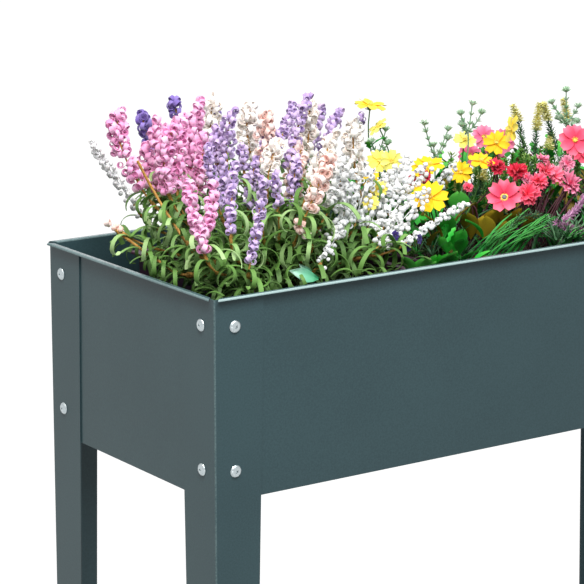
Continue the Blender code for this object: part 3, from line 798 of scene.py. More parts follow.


# its near-black first stop is the painted shade low down among the ribbons
ribbon_green = leaf_foam("green_eva_ribbon", "091404", "689645", "c4e2a4")
ribbons = [ribbon(*sizes) for sizes in (
    (56, 90, 1.0, 0), (66, 130, 1.3, 20), (72, 160, 1.2, -25), (62, 190, 1.0, 15),
    (74, 210, 1.4, 0), (70, 250, 1.5, -15), (54, 150, 1.8, 30), (78, 180, 1.6, -10),
    (64, 290, 1.3, 10), (50, 110, 1.0, -20))]


def leaf_place(point, yaw, lean, size=1.0):
    """A matrix that puts a leaf's foot on a point and leans it towards the bearing `yaw`."""
    return Matrix.Translation(point) @ spin(yaw, "Z") @ spin(lean, "X") @ Matrix.Scale(size, 4)


def inside_bed(shape, matrix):
    """Whether a leaf keeps clear of the steel: inside the panels below the rim, near it above."""
    for index in range(0, len(shape.vertices), 3):
        place = matrix @ shape.vertices[index].co
        over = place.z > BED_TOP + 0.004
        if (abs(place.x) > INSIDE_X + OVER_X * over or abs(place.y) > INSIDE_Y + OVER_Y * over
                or place.z < COMPOST_TOP - 0.004):
            return False
    return True


def add_leaf(rng, bm, shapes, point, yaw, lean, size=1.0):
    """Add one leaf, turning it away from the steel if it would touch."""
    for attempt in range(8):
        shape = rng.choice(shapes)
        matrix = leaf_place(point, yaw + rng.uniform(-0.3, 0.3) * (1 + attempt),
                            lean * rng.uniform(0.75, 1.25), size * rng.uniform(0.85, 1.1))
        if inside_bed(shape, matrix):
            # painted shade: a leaf low over the compost gets a darker tint
            painted_height_shade = min(1, 0.05 + max(0, point.z - COMPOST_TOP) / LEAF_DEPTH)
            add_copy(bm, shape, matrix, rng.uniform(0.35, 1.0) * painted_height_shade)
            return


rng = random.Random(41)
bm = new_planting()
for points, radius in stems:
    if points[1].x > -0.06:
        continue
    for point in wire_path(points, STEM_STEPS)[4:STEM_STEPS:4]:
        if point.z < COMPOST_TOP + 0.006:
            continue
        start = rng.uniform(0, math.tau)
        count = rng.choice((3, 3, 4, 4))
        for index in range(count):
            add_leaf(rng, bm, ribbons, point, start + index * math.tau / count,
                     rng.uniform(0.35, 1.0), 0.95)
for twig in twigs:
    for share in (0.0, 0.15, 0.3, 0.45):
        for turn in (-0.6, -1.8, 1.2):
            add_leaf(rng, bm, ribbons, along(twig[1:], share), turn + rng.uniform(-0.5, 0.5),
                     0.7, 0.8)
finish_piece("ribbon_leaf_tufts", bm, ribbon_green, ["left_leaves"], smooth=60)

low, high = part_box("left_pot")
size = high - low
bm = new_planting()
for column in range(6):
    for row in range(6):
        x = low.x + size.x * (0.08 + 0.84 * (column + rng.uniform(0.1, 0.9)) / 6)
        y = low.y + size.y * (0.05 + 0.90 * (row + rng.uniform(0.1, 0.9)) / 6)
        point = Vector((x, y, COMPOST_TOP + rng.uniform(0.004, 0.026)))
        start = rng.uniform(0, math.tau)
        for index in range(3):
            add_leaf(rng, bm, ribbons, point, start + index * math.tau / 3,
                     rng.uniform(0.3, 1.0), 0.9)
# leafy shoots bridge the gap between the left pot and the end of the bed
for index in range(8):
    foot = Vector((low.x + 0.020, low.y + 0.015 + 0.022 * index, COMPOST_TOP))
    tip = Vector((low.x - rng.uniform(0.045, 0.065) + 0.004 * index,
                  foot.y - rng.uniform(0.010, 0.030), BED_TOP - rng.uniform(0.012, 0.024)))
    shoot = (foot, (foot + tip) / 2 + Vector((0, 0, 0.012)), tip)
    for share in (0.5, 0.95):
        for turn in range(3):
            add_leaf(rng, bm, ribbons, along(shoot, share), rng.uniform(-2.8, -0.2),
                     rng.uniform(0.1, 0.9), 0.8)
# the outer tufts hang over the pot's edge
for step in range(16):
    point = Vector((low.x + 0.010, low.y + size.y * (step + 0.5) / 16, POT_TOP + 0.008))
    for turn in (0.5, 1.1):
        add_leaf(rng, bm, ribbons, point, -math.pi / 2 + rng.uniform(-0.8, 0.8), turn, 0.85)
for step in range(10):
    point = Vector((low.x + size.x * (step + 0.5) / 10, low.y + 0.012, POT_TOP + 0.008))
    add_leaf(rng, bm, ribbons, point, rng.uniform(-1.2, 1.2), rng.uniform(0.3, 0.8), 0.8)
finish_piece("ribbon_leaf_bed", bm, ribbon_green, smooth=60)

# ---- Fabric flowers -----------------------------------------------------------------------------
# Cosmos, anemones and ruffled carnations of stamped polyester cloth, creased from the middle
# outwards, each on a green calyx and a plastic-covered wire.
UP = Vector((0, 0, 1))
SPIRAL = 2.4                         # the turn from one blade of a tuft to the next, in radians


def cloth(name, dark, mid, light, tint_share=0.5):
    """Dyed polyester cloth: the colour runs from the flower's own shade to a paler edge. Its
    weave is drawn 1.1 mm wide, coarser than real threads so that it shows."""
    material, tree, shader = start_material(name, Roughness=0.65, Specular_IOR_Level=0.3,
                                            Sheen_Weight=0.15, Sheen_Roughness=0.5)
    place = add_node(tree, "TexCoord").outputs["Object"]
    weave = add_node(tree, "TexNoise", {"Vector": place, "Scale": 900.0}).outputs["Fac"]
    tint = add_node(tree, "Attribute", attribute_name="tint").outputs["Fac"]
    up = add_node(tree, "Attribute", attribute_name="up").outputs["Fac"]
    tone = add_node(tree, "Mix", {"Factor": tint_share, "A": up, "B": tint}, data_type="FLOAT")
    mixed = add_node(tree, "Mix", {"Factor": 0.10, "A": tone.outputs["Result"], "B": weave},
                     data_type="FLOAT")
    paint(tree, shader, mixed.outputs["Result"], ((0.05, dark), (0.5, mid), (0.95, light)),
          weave, 0.25, 0.0003)
    return material


def blade(bm, matrix, length, widths, cup=0.0, bend=0.0, ripple=0.0, waves=2, notch=0.0,
          fringe=0.0, across=4, thickness=0.5):
    """One closed petal or leaf along +Y with its half-widths at equal steps; sizes in mm."""
    up = bm.verts.layers.float["up"]
    rows = len(widths) - 1
    made = bmesh.ops.create_grid(bm, x_segments=across, y_segments=rows, size=1.0)["verts"]
    faces = list({face for vert in made for face in vert.link_faces})
    for vert in made:
        side, share = vert.co.x, (vert.co.y + 1) / 2
        below = min(int(share * rows + 1e-6), rows - 1)
        half = widths[below] + (widths[below + 1] - widths[below]) * (share * rows - below)
        angle = bend * share
        run, rise = length * share, 0
        if bend:
            run, rise = length * math.sin(angle) / bend, length * (1 - math.cos(angle)) / bend
        run -= notch * (1 - abs(side)) * share ** 4
        if share == 1:
            run -= fringe * (round((side + 1) / 2 * across) % 2)
        raised = cup * side * side + ripple * share * math.sin(side * math.pi * waves)
        vert.co = matrix @ (Vector((side * half, run - math.sin(angle) * raised,
                                    rise + math.cos(angle) * raised)) * MM)
        vert[up] = share
    bmesh.ops.solidify(bm, geom=faces, thickness=thickness * MM)


def rosette(count, length, widths, tilt, base=2.0, **shape):
    """Petals set round a middle, opening to +Z; alternate ones lie 0.8 mm higher."""
    bm = new_planting()
    for index in range(count):
        matrix = (spin(index * math.tau / count, "Z")
                  @ Matrix.Translation((0, base * MM, (0.8 + index % 2 * 0.8) * MM))
                  @ spin(math.radians(tilt + index % 2 * 4), "X"))
        blade(bm, matrix, length, widths, **shape)
    return keep_template(bm)


def button(radius, height, sections=10):
    """A domed flower middle."""
    bm = new_planting()
    bmesh.ops.create_uvsphere(bm, u_segments=sections, v_segments=6, radius=1.0,
                              matrix=Matrix.Diagonal((radius * MM, radius * MM, height * MM, 1)))
    for vert in bm.verts:
        vert[bm.verts.layers.float["up"]] = max(0, vert.co.z / (height * MM))
    return keep_template(bm)


def tuft(count, length, width, spread, bend=0.3, base=0.8):
    """Narrow blades that stand in a crown, opening to +Z: stamens, sepals or small leaves."""
    bm = new_planting()
    for index in range(count):
        tilt = 90 - spread * (0.4 + 0.6 * index / count)
        matrix = (spin(index * SPIRAL, "Z") @ Matrix.Translation((0, base * MM, 0))
                  @ spin(math.radians(tilt), "X"))
        blade(bm, matrix, length, (width * 0.6, width, width * 0.5), bend=bend, across=2,
              thickness=0.4)
    return keep_template(bm)


def ruffle(radius, count, seed):
    """A fan of frilled petals with toothed ends, like a carnation."""
    bm = new_planting()
    rng = random.Random(seed)
    for index in range(count):
        lean = math.radians(12 + 74 * (index / count) ** 0.6)
        matrix = (spin(index * SPIRAL, "Z") @ spin(math.pi / 2 - lean, "X")
                  @ spin(rng.uniform(-0.5, 0.5), "Y"))
        blade(bm, matrix, radius * rng.uniform(0.8, 1.25),
              [radius * share for share in (0.08, 0.26, 0.46, 0.56)], bend=-0.3,
              ripple=radius * 0.14, waves=2, fringe=radius * 0.16, across=6)
    return keep_template(bm)


stem_green = leaf_foam("green_moulded_plastic", "3c6a2a", "5f9440", "93bd6a")
cosmos = rosette(7, 19, (2.2, 4.6, 6.4, 6.4, 4.6), 18, bend=-0.6, cup=1.6,
                 ripple=0.9, notch=2.0)
anemone = rosette(7, 23, (3.0, 5.6, 7.6, 7.8, 5.2), 40, bend=-0.7, cup=2.4,
                  ripple=1.8, base=3.0, notch=3.0)
open_flower = rosette(8, 18, (2.6, 5.0, 6.8, 6.4, 3.6), 20, bend=-0.6, cup=1.4,
                      ripple=0.8, base=2.5, notch=1.2)
ruffled = [ruffle(14, 15, seed) for seed in (1, 2, 3)]
small_middle = button(3.2, 2.4)
stamens = tuft(16, 5.0, 0.6, 45, 0.1, 1.0)
anemone_ring = button(8.0, 3.2, 14)
anemone_seed = button(4.6, 5.0)
sepals = tuft(6, 6.0, 1.8, 60, -0.8)

FLOWERS = (
    # kind, pot, place in mm, facing, size, tint from deep to pale
    ("cosmos", "middle", (-62, 80, 956), (0.05, -0.2, 1), 1.05, 0.62),
    ("cosmos", "middle", (-62, 60, 930), (-0.7, 0.2, 0.8), 0.75, 0.95),
    ("cosmos", "middle", (-100, -20, 900), (-0.5, -0.8, 0.25), 0.75, 1.0),
    ("cosmos", "middle", (-90, 20, 892), (-0.4, -0.6, 0.7), 0.85, 0.85),
    ("cosmos", "middle", (-135, -20, 880), (-0.6, -0.3, 0.7), 0.65, 0.3),
    ("cosmos", "middle", (-150, -60, 874), (-0.3, -0.6, 0.7), 0.6, 0.85),
    ("cosmos", "middle", (-170, -70, 860), (-0.6, -0.6, 0.5), 0.55, 0.9),
    ("cosmos", "middle", (-35, -20, 887), (-0.2, -0.3, 1), 0.95, 0.4),
    ("cosmos", "middle", (0, 40, 870), (-0.5, -0.6, 0.6), 0.8, 0.45),
    ("cosmos", "middle", (75, 45, 900), (-0.2, -0.5, 0.85), 0.8, 1.0),
    ("cosmos", "middle", (145, 60, 887), (-0.5, -0.5, 0.7), 0.95, 0.3),
    ("cosmos", "middle", (45, -30, 885), (-0.1, -0.4, 1), 0.9, 0.35),
    ("cosmos", "middle", (50, 20, 862), (-0.6, -0.6, 0.5), 0.8, 0.4),
    ("cosmos", "middle", (125, 0, 918), (-0.95, 0.25, 0.25), 0.95, 0.75),
    ("cosmos", "middle", (-95, -98, 862), (-0.45, -0.55, 0.7), 1.2, 0.4),
    ("anemone", "middle", (30, -100, 848), (-0.55, -0.62, 0.56), 1.0, 0.45),
    ("open", "right", (220, -20, 895), (-0.5, -0.75, 0.55), 1.15, 0.5),
    ("open", "right", (255, 10, 870), (-0.2, -0.6, 0.7), 1.0, 0.35),
    ("pink", "middle", (105, 70, 872), (-0.5, -0.7, 0.5), 0.85, 0.25),
    ("pink", "middle", (145, 90, 892), (-0.5, -0.7, 0.4), 0.85, 0.5),
    ("pink", "right", (180, 90, 882), (-0.5, -0.7, 0.4), 0.9, 0.35),
    ("pink", "right", (160, 85, 860), (-0.5, -0.7, 0.4), 0.9, 0.3),
    ("red", "middle", (-80, -70, 885), (-0.5, -0.5, 0.7), 0.6, 0.3),
    ("red", "middle", (60, -45, 878), (-0.2, -0.5, 0.8), 0.95, 0.4),
    ("red", "middle", (88, -55, 870), (-0.3, -0.6, 0.7), 1.05, 0.3),
    ("frill", "middle", (120, -70, 886), (0.4, -0.5, 0.8), 0.65, 0.7),
    ("coral", "middle", (120, -75, 870), (0.3, -0.6, 0.8), 1.0, 0.6),
    ("coral", "right", (135, -75, 862), (0.3, -0.7, 0.7), 1.05, 0.8),
    ("frill", "right", (160, -80, 848), (0.4, -0.7, 0.6), 1.25, 0.5),
    ("coral", "middle", (100, -85, 860), (-0.1, -0.7, 0.7), 0.95, 0.35),
    ("frill", "middle", (95, -70, 862), (-0.3, -0.6, 0.7), 0.6, 0.7),
    ("coral", "middle", (76, -92, 846), (-0.3, -0.8, 0.5), 1.15, 0.3),
    ("coral", "middle", (-20, -85, 866), (-0.5, -0.6, 0.6), 0.5, 0.5),
    ("frill", "right", (190, -40, 868), (-0.5, -0.6, 0.6), 0.8, 0.8),
    ("frill", "right", (320, -80, 893), (-0.4, -0.5, 0.8), 1.0, 0.5),
    ("coral", "right", (345, 20, 880), (-0.3, -0.4, 0.9), 1.0, 0.5),
    ("red", "right", (300, 20, 862), (-0.4, -0.6, 0.7), 0.9, 0.4),
    ("cosmos", "right", (290, -110, 870), (-0.5, -0.7, 0.5), 0.95, 0.4),
    ("cosmos", "right", (375, -105, 878), (0.3, -0.7, 0.6), 1.05, 0.3),
    ("cosmos", "right", (400, -30, 890), (0.5, -0.3, 0.8), 0.9, 0.9),
    ("cosmos", "right", (330, 100, 855), (0.2, 0.5, 0.8), 0.95, 0.5),
    ("anemone", "right", (400, 90, 880), (0.5, 0.6, 0.5), 0.95, 0.4),
    ("open", "right", (240, 120, 840), (0.1, 0.7, 0.6), 0.95, 0.5),
    ("cosmos", "middle", (-30, 130, 842), (-0.1, 0.8, 0.5), 0.95, 0.4),
    ("open", "middle", (60, 125, 836), (0.1, 0.8, 0.5), 0.9, 0.5),
    ("violet", "middle", (-148, -145, 822), (0.4, -0.8, 0.1), 0.35, 0.2),
    ("violet", "middle", (-168, -145, 814), (-0.6, -0.4, -0.3), 0.35, 0.3),
    ("violet", "middle", (-178, -135, 828), (-0.9, -0.2, 0.2), 0.35, 0.2),
)
KINDS = {
    # kind: petals, their colour, middle
    "cosmos": ([cosmos], "yellow", small_middle),
    "anemone": ([anemone], "coral", anemone_ring),
    "open": ([open_flower], "coral", small_middle),
    "pink": ([open_flower], "pink", small_middle),
    "red": (ruffled, "red", None),
    "coral": (ruffled, "coral", None),
    "frill": (ruffled, "pink", None),
    "violet": ([open_flower], "violet", None),
}
FLOWER_PIECES = (
    # colour, piece, its cloth from deep to pale, share of the tint, slot, CAD stems it stands for
    ("yellow", "yellow_cosmos_petals", ("yellow_polyester_cloth", "ee9d00", "fbd00e", "f6f27e", 0.85),
     "yellow_petals", ["yellow_cosmos_tall", "yellow_cosmos_large", "yellow_cosmos_right"]),
    ("coral", "coral_flower_petals", ("coral_polyester_cloth", "dc1c4c", "f84e70", "ff9ab4", 0.45),
     "coral_petals", ["coral_anemone_front", "coral_anemone_right"]),
    ("red", "red_pompon_petals", ("red_polyester_cloth", "b3102e", "dd2647", "f0557a", 0.5),
     "red_petals", ["red_pompon"]),
    ("pink", "pink_flower_petals", ("pink_polyester_cloth", "dd4472", "f1759f", "fab8d0", 0.5),
     "pink_petals", ["pink_pompon_far"]),
    ("violet", "violet_petals", ("violet_polyester_cloth", "241650", "3f2c80", "6f5cab", 0.5),
     "violet_petals", ()),
    ("middle", "flower_middles", ("flower_middle_flock", "d79a1a", "ecc93c", "f5e88c", 0.4),
     "yellow_petals", ()),
    ("seed", "anemone_seed_heads", ("dark_seed_flock", "2b2f38", "4c525c", "8d939b", 0.3),
     "frosted_leaves", ()),
)
rng = random.Random(51)
clumps = {row[0]: new_planting() for row in FLOWER_PIECES}
calyxes = new_planting()
wire_rows = []                       # (points of the wire from its foot, radius in mm)
maroon_rows = []
for kind, pot, place, direction, size, tint in FLOWERS:
    shapes, colour, middle = KINDS[kind]
    direction = Vector(direction).normalized()
    matrix = facing(at(place), direction, rng.uniform(0, math.tau), size)
    add_copy(clumps[colour], rng.choice(shapes), matrix, tint)
    if middle:
        add_copy(clumps["middle"], middle, matrix @ lift(1.6), 0.5)
        add_copy(clumps["middle"], stamens, matrix @ lift(1.6), 0.9)
    if kind == "anemone":
        add_copy(clumps["seed"], anemone_seed, matrix @ lift(1.4), 0.5)
    back = matrix @ lift(-1.2)
    add_copy(calyxes, sepals, back @ lift(-3.0), 0.5)
    head = back.translation
    low = head - direction * 0.014 - UP * 0.010
    foot = stem_under(low, pot)
    if shapes is not ruffled:
        wire_rows.append(([foot, low, low + (head - low) * 0.5 + UP * 0.001, head], 0.9))
        continue
    for turn in range(4):
        spread = Vector((rng.uniform(-0.030, 0.012), rng.uniform(-0.035, 0.010), 0))
        start = Vector((rng.uniform(-0.006, 0.006), rng.uniform(-0.006, 0.006), -0.004))
        maroon_rows.append(([foot + spread, low + start + spread * 0.3,
                             (low + head) / 2 + start, head], 0.9))
for step in range(24):               # the carnations' wires meet low down in one dark bundle
    top = Vector((0.076 + 0.0042 * step, -0.088 + rng.uniform(-0.008, 0.012),
                  0.848 + rng.uniform(-0.010, 0.006)))
    foot = Vector((0.052 + 0.0016 * step + rng.uniform(-0.010, 0.010),
                   -0.118 + rng.uniform(-0.006, 0.014), 0.775))
    middle = (foot + top) / 2 + Vector((rng.uniform(-0.006, 0.006), 0, 0.004))
    maroon_rows.append(([foot, (foot + middle) / 2, middle, top], rng.uniform(0.6, 0.9)))
for colour, name, colours, slot, nodes in FLOWER_PIECES:
    finish_piece(name, clumps[colour], cloth(*colours), nodes)

# ---- Frosted sprigs, heather and leaves ---------------------------------------------------------
# Moulded plastic greenery: branching sprigs with pale crowns, needle-leaved heather with yellow or
# purple tips, broad veined leaves and grass, packed between the flowers down to the compost.
frosted = leaf_foam("frosted_green_plastic", "7aa87c", "b5d4b4", "eef5ec")
needle_green = leaf_foam("needle_green_plastic", "12301c", "3c6f45", "8fb892")
fern_green = leaf_foam("fern_green_plastic", "2f6a24", "6fa444", "b4cf78")
leaf_green = leaf_foam("leaf_green_cloth", "0a4a12", "22a630", "74d65a")
olive_green = leaf_foam("olive_green_cloth", "2e2c06", "84700e", "ccae2c")
grass_green = leaf_foam("grass_green_plastic", "062c0e", "1a802e", "4fae48")
maroon = leaf_foam("maroon_plastic", "3a0f1c", "5f1d2e", "8a3a48")
heather_tips = cloth("heather_tip_flock", "cfc458", "e6e184", "f4f4cc")
purple_heather = cloth("purple_heather_flock", "85507c", "b075a2", "d3a2c6")
variegated = cloth("variegated_leaf_cloth", "1f9a62", "7cc8a4", "d2efe0", 0.1)

crown = tuft(9, 8.0, 1.5, 42, -0.3)
small_crown = tuft(6, 6.0, 1.4, 50, -0.4)
needle_whorl = tuft(6, 5.0, 0.8, 75, -0.2)
long_needles = tuft(5, 10.0, 0.7, 60, -0.3)
spike_whorl = tuft(7, 6.8, 1.0, 52, -0.4)
plume = tuft(8, 5.2, 1.2, 75, -0.8)
needle_tuft = tuft(9, 30.0, 1.0, 50, -0.5)


def leaf_shape(length, widths, bend, cup, ripple=0.0, waves=2):
    """A single leaf that stands up from its foot and arches over."""
    bm = new_planting()
    blade(bm, spin(math.pi / 2, "X"), length, widths, cup=-cup, bend=bend,
          ripple=ripple, waves=waves, thickness=0.4)
    return keep_template(bm)


oval_leaf = leaf_shape(30, (1.2, 7.0, 10.5, 9.5, 6.5, 1.0), 0.7, 2.5, 0.8, 3)
broad_leaf = leaf_shape(42, (1.2, 6.5, 10.0, 10.5, 7.0, 1.0), 0.9, 3.0, 0.8)
long_leaf = leaf_shape(50, (1.0, 4.0, 5.4, 5.0, 3.4, 0.6), 0.8, 2.0)
round_leaf = leaf_shape(30, (1.5, 9.0, 13.0, 12.5, 8.5, 1.5), 0.6, 2.5, 1.0, 3)
creased_leaf = leaf_shape(50, (1.0, 6.0, 9.0, 8.0, 4.5, 0.6), 0.15, -1.5, 1.8, 3)
lobed_leaf = leaf_shape(26, (1.0, 5.0, 2.6, 6.5, 3.0, 5.0, 0.8), 0.6, 1.0, 0.6)
grass_blade = leaf_shape(85, (1.8, 2.6, 2.6, 2.2, 1.6, 0.5), 0.9, 0.8)
sweeping_blade = leaf_shape(100, (1.6, 2.4, 2.4, 2.2, 1.6, 0.5), 0.75, 0.8)
short_grass = leaf_shape(55, (1.4, 2.2, 2.2, 1.6, 0.5), 1.2, 0.6)


def dress(rng, bm, points, shapes, pitch, size=1.0, grow=0.0):
    """Thread whorls of needles or scales along a stem, each opening up the stem."""
    length = (points[1] - points[0]).length + (points[2] - points[1]).length
    count = max(2, round(length / (pitch * MM)))
    for index in range(count + 1):
        share = index / count
        add_copy(bm, rng.choice(shapes),
                 facing(along(points, share), slope(points, share), rng.uniform(0, math.tau),
                        size * (1 + grow * (1 - share)) * rng.uniform(0.85, 1.15)), rng.random())


SPRIGS = (
    # pot, joint near the base, ends of the branches, in mm
    ("middle", (28, 50, 880), ((25, 50, 898), (50, 50, 918), (8, 50, 930), (50, 50, 905))),
    ("middle", (62, 20, 918), ((68, 20, 956), (48, 20, 944), (85, 20, 942), (50, 20, 928))),
    ("right", (264, 50, 908), ((262, 50, 953), (236, 50, 938), (285, 50, 928), (250, 50, 914),
                               (283, 50, 906))),
    ("middle", (-130, 110, 930), ((-125, 110, 945), (-140, 110, 940))),
    ("middle", (-62, 60, 895), ((-50, 60, 926), (-75, 60, 912), (-50, 55, 908))),
    ("right", (360, -60, 900), ((350, -65, 930), (375, -55, 935), (365, -75, 915))),
    ("right", (420, 50, 900), ((415, 60, 935), (435, 45, 925))),
)
rng = random.Random(61)
sprigs = new_planting()
frosted_rows = []
for pot, joint, ends in SPRIGS:
    joint = at(joint)
    foot = stem_under(joint, pot)
    frosted_rows.append(([foot, joint - UP * 0.02, joint - UP * 0.01, joint], 1.0))
    for end in map(at, ends):
        middle = (joint + end) / 2 + Vector((0, 0, -0.003))
        frosted_rows.append(([joint, joint + (middle - joint) * 0.3, middle, end], 0.8))
        for turn in range(3):
            lean = Vector((rng.uniform(-0.5, 0.5), rng.uniform(-0.5, 0.5), 1)).normalized()
            add_copy(sprigs, crown, facing(end - lean * 0.002, lean, rng.uniform(0, math.tau)),
                     rng.uniform(0.4, 1.0))
        dress(rng, sprigs, (joint, middle, end), [small_crown], 11)
finish_piece("frosted_sprig_crowns", sprigs, frosted,
             ["frosted_fern_left", "frosted_fern_tall", "frosted_fern_right"])

HEATHERS = (
    # pot, lower end, middle, tip in mm, share of the stem in flower
    ("right", (195, 60, 850), (197, 70, 895), (189, 80, 934), 0.3),
    ("right", (205, 50, 850), (216, 60, 890), (230, 70, 934), 0.4),
    ("right", (245, 50, 870), (240, 60, 905), (230, 62, 936), 0.4),
    ("right", (215, 40, 840), (230, 50, 865), (245, 60, 890), 0.4),
    ("middle", (60, 0, 830), (68, 0, 845), (75, 0, 865), 0.3),
    ("right", (335, -20, 850), (340, -25, 900), (350, -30, 950), 0.3),
    ("right", (300, 90, 850), (305, 95, 890), (300, 100, 930), 0.4),
    ("middle", (-20, 100, 850), (-15, 105, 862), (-10, 110, 876), 0.4),
)
needles = new_planting()
tips = new_planting()
for pot, low, middle, tip, flowering in HEATHERS:
    points = [at(low), at(middle), at(tip)]
    bend = along(points, 1 - flowering)
    dress(rng, needles, (points[0], along(points, (1 - flowering) / 2), bend), [needle_whorl],
          3.2, 1.1, 0.5)
    dress(rng, tips, (bend, along(points, 1 - flowering / 2), points[2]), [plume], 2.2, 1.0, 0.5)
    wire_rows.append(([stem_under(points[0], pot), *points], 0.8))
finish_piece("heather_tips", tips, heather_tips, ["green_heather"])

# fine yellow-green fern fills the back between the yellow flowers, the carnations and the heather
fern = new_planting()
fern_rows = []
for step in range(36):
    foot = Vector((0.060 + 0.0062 * step, 0.010 + 0.022 * (step % 4), 0.808))
    tip = foot + Vector((rng.uniform(-0.015, 0.015), 0, rng.uniform(0.045, 0.072)))
    middle = (foot + tip) / 2 + Vector((rng.uniform(-0.006, 0.006), 0, 0))
    dress(rng, fern, (foot, middle, tip), [small_crown, long_needles], 4.5, 1.0)
    fern_rows.append(([foot - UP * 0.04, foot, middle, tip], 0.6))
finish_piece("fine_fern_leaves", fern, fern_green)
even_wires("fine_fern_stems", fern_rows, 4, fern_green)

PURPLE_SPIKES = (
    ((100, -130, 812), (128, -128, 822), (160, -120, 846)),
    ((135, -140, 800), (115, -145, 803), (85, -145, 815)),
    ((250, -130, 830), (262, -135, 845), (272, -140, 865)),
)
ROSEMARY = (
    ((0, -135, 800), (25, -132, 823), (60, -130, 826)),
    ((150, -140, 790), (110, -138, 808), (60, -130, 826)),
    ((180, -120, 810), (200, -115, 830), (215, -110, 850)),
    ((160, -20, 820), (180, -20, 850), (200, -15, 875)),
)
spikes = new_planting()
for rows, clump, shape, pitch, grow in ((PURPLE_SPIKES, spikes, spike_whorl, 2.8, 0.3),
                                        (ROSEMARY, needles, long_needles, 4.5, 0.0)):
    for row in rows:
        points = [at(point) for point in row]
        dress(rng, clump, points, [shape], pitch, 0.9, grow)
        wire_rows.append(([stem_under(points[0], "right"), *points], 0.8))
finish_piece("purple_heather_spikes", spikes, purple_heather)
finish_piece("needle_leaves", needles, needle_green)


def scatter(rng, pot, count, height):
    """Feet for leaves, spread evenly over a pot and up to a height over the compost."""
    low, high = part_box(pot + "_pot")
    rows = round(math.sqrt(count))
    places = []
    for column in range(rows):
        for row in range(rows):
            x = low.x + (high.x - low.x) * (column + rng.uniform(0.1, 0.9)) / rows
            y = low.y + (high.y - low.y) * (row + rng.uniform(0.1, 0.9)) / rows
            x = min(max(x, low.x + 0.010), high.x - 0.010)
            y = min(max(y, low.y + 0.010), high.y - 0.010)
            places.append((Vector((x, y, COMPOST_TOP + rng.uniform(0.0, height))),
                           rng.uniform(0, math.tau)))
    return places


LEAF_ROWS = (
    # shape, foot in mm, bearing in degrees from the front, lean, size
    (broad_leaf, (-165, -150, 776), -60, 0.25, 0.9),
    (round_leaf, (-150, -155, 777), -20, 0.3, 1.0),
    (broad_leaf, (-125, -155, 777), 25, 0.35, 1.0),
    (round_leaf, (-105, -155, 780), -40, 0.35, 0.9),
    (broad_leaf, (-85, -155, 780), 15, 0.45, 0.9),
    (oval_leaf, (-65, -155, 782), 60, 0.7, 0.9),
    (broad_leaf, (-80, -140, 790), -20, 0.1, 1.1),
    (round_leaf, (-95, -135, 795), -70, 0.25, 0.9),
    (round_leaf, (-48, -100, 838), -35, 0.15, 1.1),
    (round_leaf, (-120, -150, 778), -40, 0.35, 0.95),
    (round_leaf, (-140, -150, 775), 15, 0.45, 0.85),
    (broad_leaf, (-60, -90, 800), -30, 0.2, 1.1),
    (lobed_leaf, (-85, 50, 905), -50, 0.7, 0.9),
    (lobed_leaf, (-70, 50, 890), 40, 0.8, 1.0),
    (lobed_leaf, (-110, 20, 865), -60, 0.6, 1.0),
    (lobed_leaf, (-85, 40, 880), -20, 0.6, 1.0),
    (lobed_leaf, (-75, 60, 905), 60, 0.7, 0.9),
    (lobed_leaf, (-120, 30, 890), -80, 0.5, 0.9),
    (lobed_leaf, (-55, -20, 865), 20, 0.6, 1.0),
    (lobed_leaf, (-35, -30, 855), -60, 0.6, 1.0),
) + tuple((lobed_leaf, (55 + 6.5 * step, 50 + 20 * (step % 4), 836 + 6 * (step % 5)),
           37 * step, 0.5, 1.1) for step in range(36))
OLIVE_ROWS = (
    (round_leaf, (0, -95, 795), -35, 0.1, 1.2),
    (round_leaf, (30, -100, 790), -20, 0.2, 1.1),
    (oval_leaf, (60, -100, 792), 20, 0.4, 1.3),
    (broad_leaf, (-15, -85, 795), -50, 0.2, 1.2),
    (round_leaf, (45, -95, 800), -30, 0.4, 1.2),
    (oval_leaf, (85, -100, 792), -40, 0.5, 1.1),
    (round_leaf, (20, -85, 805), -15, 0.3, 1.2),
    (round_leaf, (50, -88, 802), 10, 0.3, 1.2),
    (broad_leaf, (75, -95, 795), -10, 0.3, 1.0),
)
GRASS_ROWS = tuple(
    (sweeping_blade, (-65 + 3.5 * step, -128 - 5 * (step % 5), 772),
     66 + 11 * (step % 4), 0.50 + 0.09 * (step % 3), 0.8 + 0.06 * (step % 4))
    for step in range(24)) + tuple(
    (grass_blade, (76 + 3 * step, -150 + 4 * (step % 3), 774),
     (-75, 60, -30, 80)[step % 4], 0.35 + 0.15 * (step % 3), 0.62 + 0.08 * (step % 3))
    for step in range(16))
NEEDLE_ROWS = tuple((needle_tuft, (82 + 6 * step, -150 + 10 * (step % 3), 786 + 6 * (step % 2)),
                     0, 0.1, 1.2) for step in range(8))
rng = random.Random(62)
broad = scatter(rng, "middle", 130, 0.050) + scatter(rng, "right", 110, 0.06)
olive = scatter(rng, "middle", 80, 0.05) + scatter(rng, "right", 80, 0.05)
broad, olive = ([(foot, turn) for foot, turn in feet     # only grass and rosemary stand in front
                 if foot.x < -0.03 or foot.x > 0.17 or foot.y > -0.06] for feet in (broad, olive))
tall = scatter(rng, "middle", 50, 0.01) + scatter(rng, "right", 60, 0.01)
needle_feet = scatter(rng, "middle", 36, 0.03) + scatter(rng, "right", 80, 0.04)
bm = new_planting()
for place, tipped, twist, size in (((-318, -160, 794), -72, 25, 1.0),
                                   ((-322, -154, 796), -48, -15, 0.6)):
    add_copy(bm, creased_leaf, Matrix.Translation(at(place)) @ spin(math.radians(tipped), "Y")
             @ spin(math.radians(twist), "Z") @ Matrix.Scale(size, 4), 0.6)
finish_piece("variegated_leaves", bm, variegated)
